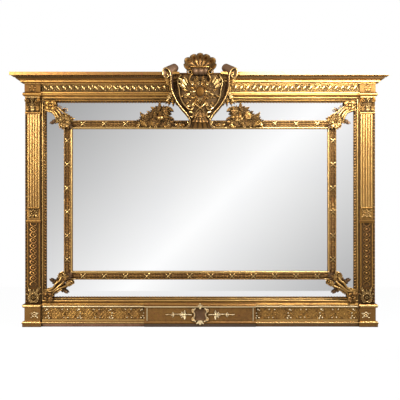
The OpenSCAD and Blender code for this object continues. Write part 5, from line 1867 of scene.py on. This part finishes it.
        # The folds and the underside of the roll are darker: painted shade.
        low = 0.35 * (1 - fold) * 0.6 + 0.8 * smooth(-rows, -1382, -1373)
        found.relief(*grid(44 * v, d, rows, low), 121)
        return found

    def dress(self, finish: Finishes) -> None:
        """Builds the crest."""
        # The backing blocks are in shaded ground: painted shade in the gaps between the crest's parts.
        core = Carving()
        core.block(-111.5, 111.5, 1330, 1389.4, S.board_d, 110)
        core.block(-90, 90, 1296, 1321, 78.2, 105)
        core.block(-40, 40, 1110, 1154, 69.2, 118)
        core.build("crest_core", Slot.GILT, finish.shaded, "crest_cartouche")
        for word, carving, slot, look, node in (
            ("shield", self.shield(), Slot.GILT, finish.bronzed, "crest_cartouche"),
            ("cabochon", self.cabochon(), Slot.GILT, finish.varnished, "crest_cartouche"),
            ("foot", self.foot(), Slot.GILT, finish.bronzed, "crest_cartouche"),
            ("fan", self.shell(), Slot.DARK, finish.bronzed, "crest_shell"),
            ("lip", self.lip(), Slot.DARK, finish.antique, "crest_shell"),
            ("neck", self.neck(), Slot.DARK, finish.rubbed, "crest_shell"),
        ):
            carving.build(f"crest_{word}", slot, look, node)
        build_pairs(
            (
                ("crest_strap", self.strap(), Slot.GILT, finish.rubbed, "crest_cartouche"),
                ("crest_bead", self.bead(), Slot.GILT, finish.burnished, "crest_cartouche"),
                ("crest_lit_leaves", self.leaves(True), Slot.GILT, finish.burnished, "crest_cartouche"),
                ("crest_toned_leaves", self.leaves(False), Slot.GILT, finish.antique, "crest_cartouche"),
                ("crest_curls", self.small_scrolls(), Slot.GILT, finish.burnished, "crest_cartouche"),
            )
        )


@dataclass(frozen=True)
class Spray:
    """The mass of leaves, flowers and fruit on the slip beside the crest."""

    slope: tuple[Flat, ...] = ((1092, 352), (1136, 350), (1169, 308), (1202, 250), (1222, 225))
    inner: tuple[Flat, ...] = ((1092, 160), (1130, 160), (1177, 156), (1205, 158), (1222, 170))

    def mound(self) -> Carving:
        """Carves the lumpy mass that the leaves grow from, at full recess as painted shade under them."""
        found = Carving()
        rows = np.linspace(1100, 1208, 22)[:, None]
        x0 = np.interp(rows, *zip(*self.inner)) + 14
        x1 = np.interp(rows, *zip(*self.slope)) - 16
        u = np.linspace(0, 1, 30)[None, :]
        x = x0 + (x1 - x0) * u
        swell = np.sqrt(np.clip(4 * u * (1 - u), 0, 1)) * np.sqrt(smooth(-rows, -1212, -1180))
        d = 70 + 12 * swell + 2.5 * np.sin(x * 0.33) * np.sin(rows * 0.37)
        found.relief(*grid(x, d, rows, 1.0), 58)
        return found

    def leaves(self, bright: bool) -> Carving:
        """Carves the overlapping leaves that fan out from the slip, either the lit ones or the shaded ones,
        as painted highlight and painted shade.
        """
        found = Carving()
        leaf = acanthus(48, 20, lobes=4, rise=7, curl=10, root=0.12, thick=3.5, rows=28, cols=9)
        count = 0
        for row, z in enumerate(range(1098, 1216, 12)):
            x0, x1 = np.interp(z, *zip(*self.inner)) + 6, np.interp(z, *zip(*self.slope)) - 4
            steps = max(4, round((x1 - x0) / 18))
            for i in range(steps):
                u = min((i + 0.5 * (row % 2)) / (steps - 0.7), 1.0)
                x = x0 + (x1 - x0) * u
                turn = 186 - 150 * u + 26 * math.sin(2.3 * i + 1.7 * row)
                far = 30 * (1 - abs(2 * u - 1)) ** 0.7
                at_x = x - 26 * math.cos(math.radians(turn))
                at_z = min(max(z - 26 * math.sin(math.radians(turn)), 1096), 1212)
                at_d = 70 + 0.5 * far + 4 * (count % 3)
                size = 0.85 + 0.25 * math.sin(1.9 * count + 0.4)
                if (count % 4 == 1) == bright:
                    odd = count % 2
                    found.put(leaf, at_x, at_d, at_z, turn, 4 + 9 * odd, size, not odd)
                count += 1
        return found

    def rose(self) -> Carving:
        """Carves an open rose."""
        found = Carving()
        found.put(rosette(27, 5, 14, button=0.2), 0, 0, 0)
        found.put(rosette(18, 5, 13, button=0.25), 0, 7, 0, 36)
        found.put(rosette(10, 4, 10, button=0.35), 0, 13, 0, 10)
        return found

    def cone(self) -> Carving:
        """Carves a scaly cone, standing up."""
        found = Carving()
        for row in range(7):
            r = 15 * math.sin(math.pi * (0.22 + 0.70 * row / 6))
            for i in range(9):
                a = math.radians(40 * i + 20 * (row % 2))
                if math.sin(a) > -0.35:
                    found.ball(r * math.cos(a), 6 + r * math.sin(a), -17 + 6.0 * row, (4.4, 4.4, 5.2), 5, 7)
        found.ball(0, 6, 2, (10, 9, 20), 8, 14)
        return found

    def flowers(self, word: str) -> Carving:
        """Carves the flowers and fruit of the left or the right spray, and the leaves that hang from it."""
        found = Carving()
        if word == "right":
            found.put(self.rose(), 214, 92, 1140, size=0.9)
            found.put(self.cone(), 262, 98, 1156, 10)
            found.add(self.rose(), [place(318, 84, 1118, 12, 0, 0.6), place(196, 86, 1180, 30, 0, 0.5)])
        else:
            found.ball(219, 100, 1144, (21, 17, 14.5), 10, 20)
            found.add(self.rose(), [place(262, 88, 1122, 20, 0, 0.6), place(300, 84, 1132, 8, 0, 0.5)])
        fall = acanthus(38, 15, lobes=3, rise=7, curl=6, thick=4)
        hanging = ((236, -84), (252, -96), (268, -80), (178, -100), (330, -70))
        found.add(fall, [place(x, 84, 1126, lean, 4) for x, lean in hanging])
        return found

    def dress(self, finish: Finishes) -> None:
        """Builds both sprays, each with its own flowers."""
        # The mound is in shaded ground and the shaded leaves in bronzed leaf, as painted shade; the lit ones
        # are in antique leaf, as painted highlight.
        parts = (
            ("mound", self.mound(), finish.shaded),
            ("leaves", self.leaves(False), finish.bronzed),
            ("tips", self.leaves(True), finish.antique),
        )
        for word in WORDS:
            for name, carving, look in (*parts, ("flowers", self.flowers(word), finish.polished)):
                sided(carving, word).build(f"spray_{name}_{word}", Slot.DARK, look, f"spray_{word}")


class Carcass:
    """Pine back and iron hangers, which keep their CAD shapes."""

    PINE = ("stile_", "top_rail", "bottom_rail", "backboards", "hanger_rail", "lower_batten", "dust_board")
    IRON = ("strap_hanger_", "hanger_ring_", "hanger_screws")

    def dress(self, nodes: Nodes, finish: Finishes) -> None:
        """Gives each node its finish."""
        for name, node in nodes.items():
            if name.startswith(self.PINE):
                set_finish(node, finish.pine)
            if name.startswith(self.IRON):
                set_finish(node, finish.iron)


WHITE = (1.0, 1.0, 1.0, 1.0)


@dataclass(frozen=True)
class Studio:
    """Camera, pale floor, soft lamps and the light that the glass gives back."""

    distance: float = 6.466
    height: float = 0.6944
    lens: float = 106.3
    even_light: float = 0.5

    def camera(self) -> None:
        """Sets the camera square to the mirror."""
        data = bpy.data.cameras.new("camera")
        data.lens = self.lens
        data.sensor_width = 36.0
        item = bpy.data.objects.new("camera", data)
        item.location = (-0.0005, -self.distance, self.height)
        item.rotation_euler = (math.pi / 2, 0, 0)
        bpy.context.scene.collection.objects.link(item)
        bpy.context.scene.camera = item

    def floor(self) -> None:
        """Lays the pale floor."""
        mesh = bpy.data.meshes.new("floor")
        mesh.from_pydata([(-4, -2.45, 0), (4, -2.45, 0), (4, 3, 0), (-4, 3, 0)], [], [(0, 1, 2, 3)])
        item = bpy.data.objects.new("floor", mesh)
        bpy.context.scene.collection.objects.link(item)
        made, sheet = blank("pale_floor")
        matt = sheet.add("BsdfDiffuse", {"Color": rgba((0.9, 0.9, 0.9))})
        path = sheet.add("LightPath")
        mirrored = sheet.reflected(path)
        # Seen in the glass and the gilding, the floor darkens from 0.84 to 0.40 towards the mirror: painted
        # shade.
        far = sheet.add("SeparateXYZ", {0: sheet.where()}).outputs[1]
        level = sheet.choose(mirrored, 1.02, sheet.ramp(far, -1.7, -0.2, 0.84, 0.40))
        white = sheet.add("Emission", {"Color": WHITE, "Strength": level})
        share = sheet.times(sheet.math("MAXIMUM", path.outputs["Is Camera Ray"], mirrored), 0.93)
        both = sheet.add("MixShader", {0: share, 1: matt.outputs[0], 2: white.outputs[0]})
        sheet.add("OutputMaterial", {"Surface": both.outputs[0]})
        mesh.materials.append(made)

    def world(self) -> None:
        """Lights the room: white behind the mirror, and soft bands of grey and white in front of it."""
        world = bpy.data.worlds.new("studio")
        bpy.context.scene.world = world
        world.use_nodes = True
        world.node_tree.nodes.clear()
        sheet = Sheet(world.node_tree)
        way = sheet.add("SeparateXYZ", {0: sheet.add("TexCoord").outputs["Generated"]}).outputs
        # A bright band runs across the room in front of the mirror, which shows it from corner to corner.
        ahead = sheet.math("MAXIMUM", sheet.times(way[1], -1.0), 0.08)
        right = sheet.math("DIVIDE", way[0], ahead)
        up = sheet.math("DIVIDE", way[2], ahead)
        band = sheet.minus(sheet.times(right, 1.53), sheet.times(up, 1.59))
        band = sheet.math("ABSOLUTE", sheet.minus(band, 0.0285))
        tone = sheet.math("POWER", sheet.minus(1.005, band, True), 2.3)
        tone = sheet.times(tone, sheet.ramp(ahead, 0.72, 0.95))
        # To the sides and above, the room is grey, and lighter on the right.
        right_side = sheet.ramp(way[0], 0.25, 0.8, 0.0, 0.75)
        room = sheet.times(right_side, sheet.ramp(way[2], -0.35, 0.35, 0.45, 1.0))
        room = sheet.plus(room, sheet.ramp(way[0], -0.9, -0.5, 0.40, 0.16))
        room = sheet.plus(room, sheet.ramp(way[2], 0.2, 0.7, 0.0, 0.60))
        path = sheet.add("LightPath")
        level = sheet.choose(sheet.reflected(path), self.even_light, sheet.math("MAXIMUM", tone, room))
        # The camera itself sees plain white, and matt surfaces get an even light.
        level = sheet.choose(path.outputs["Is Camera Ray"], level, 1.0)
        back = sheet.add("Background", {"Color": WHITE, "Strength": level})
        sheet.add("OutputWorld", {"Surface": back.outputs[0]})

    def lamp(
        self, name: str, at: Point, to: Point, size: Flat, power: float, tint: Colour = (1.0, 1.0, 1.0)
    ) -> None:
        """Hangs one soft oblong lamp that looks at a point of the mirror."""
        data = bpy.data.lights.new(name, "AREA")
        data.shape = "RECTANGLE"
        data.size, data.size_y = size
        data.energy = power
        data.color = tint
        item = bpy.data.objects.new(name, data)
        item.location = at
        aim = np.array(to) - np.array(at)
        yaw = math.atan2(aim[1], aim[0])
        pitch = math.atan2(math.hypot(aim[0], aim[1]), -aim[2])
        item.rotation_euler = (pitch, 0, yaw - math.pi / 2)
        bpy.context.scene.collection.objects.link(item)

    def build(self) -> None:
        """Sets the whole studio up."""
        bpy.context.scene.view_settings.view_transform = "Standard"
        self.camera()
        self.floor()
        self.world()
        self.lamp("key_lamp", (0.9, -0.7, 1.46), (0.78, 0, 1.35), (1.3, 0.2), 32, (0.92, 1.0, 1.12))
        self.lamp("fill_lamp", (-2.2, -3.2, 1.8), (0, 0, 0.75), (1.2, 1.2), 114)


def main() -> None:
    """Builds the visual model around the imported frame."""
    logging.basicConfig(level=logging.INFO, format="%(name)s: %(message)s")
    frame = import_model()
    nodes = frame["nodes"]
    Studio().build()
    finish = Finishes.make()
    Carcass().dress(nodes, finish)
    Glass().dress(nodes, finish)
    Slip().dress(nodes, finish)
    SightMouldings().dress(finish)
    Pilaster().dress(nodes, finish)
    Entablature().dress(nodes, finish)
    Base().dress(nodes, finish)
    Clasp().dress(finish)
    Crest().dress(finish)
    Spray().dress(finish)


if __name__ == "__main__":
    main()
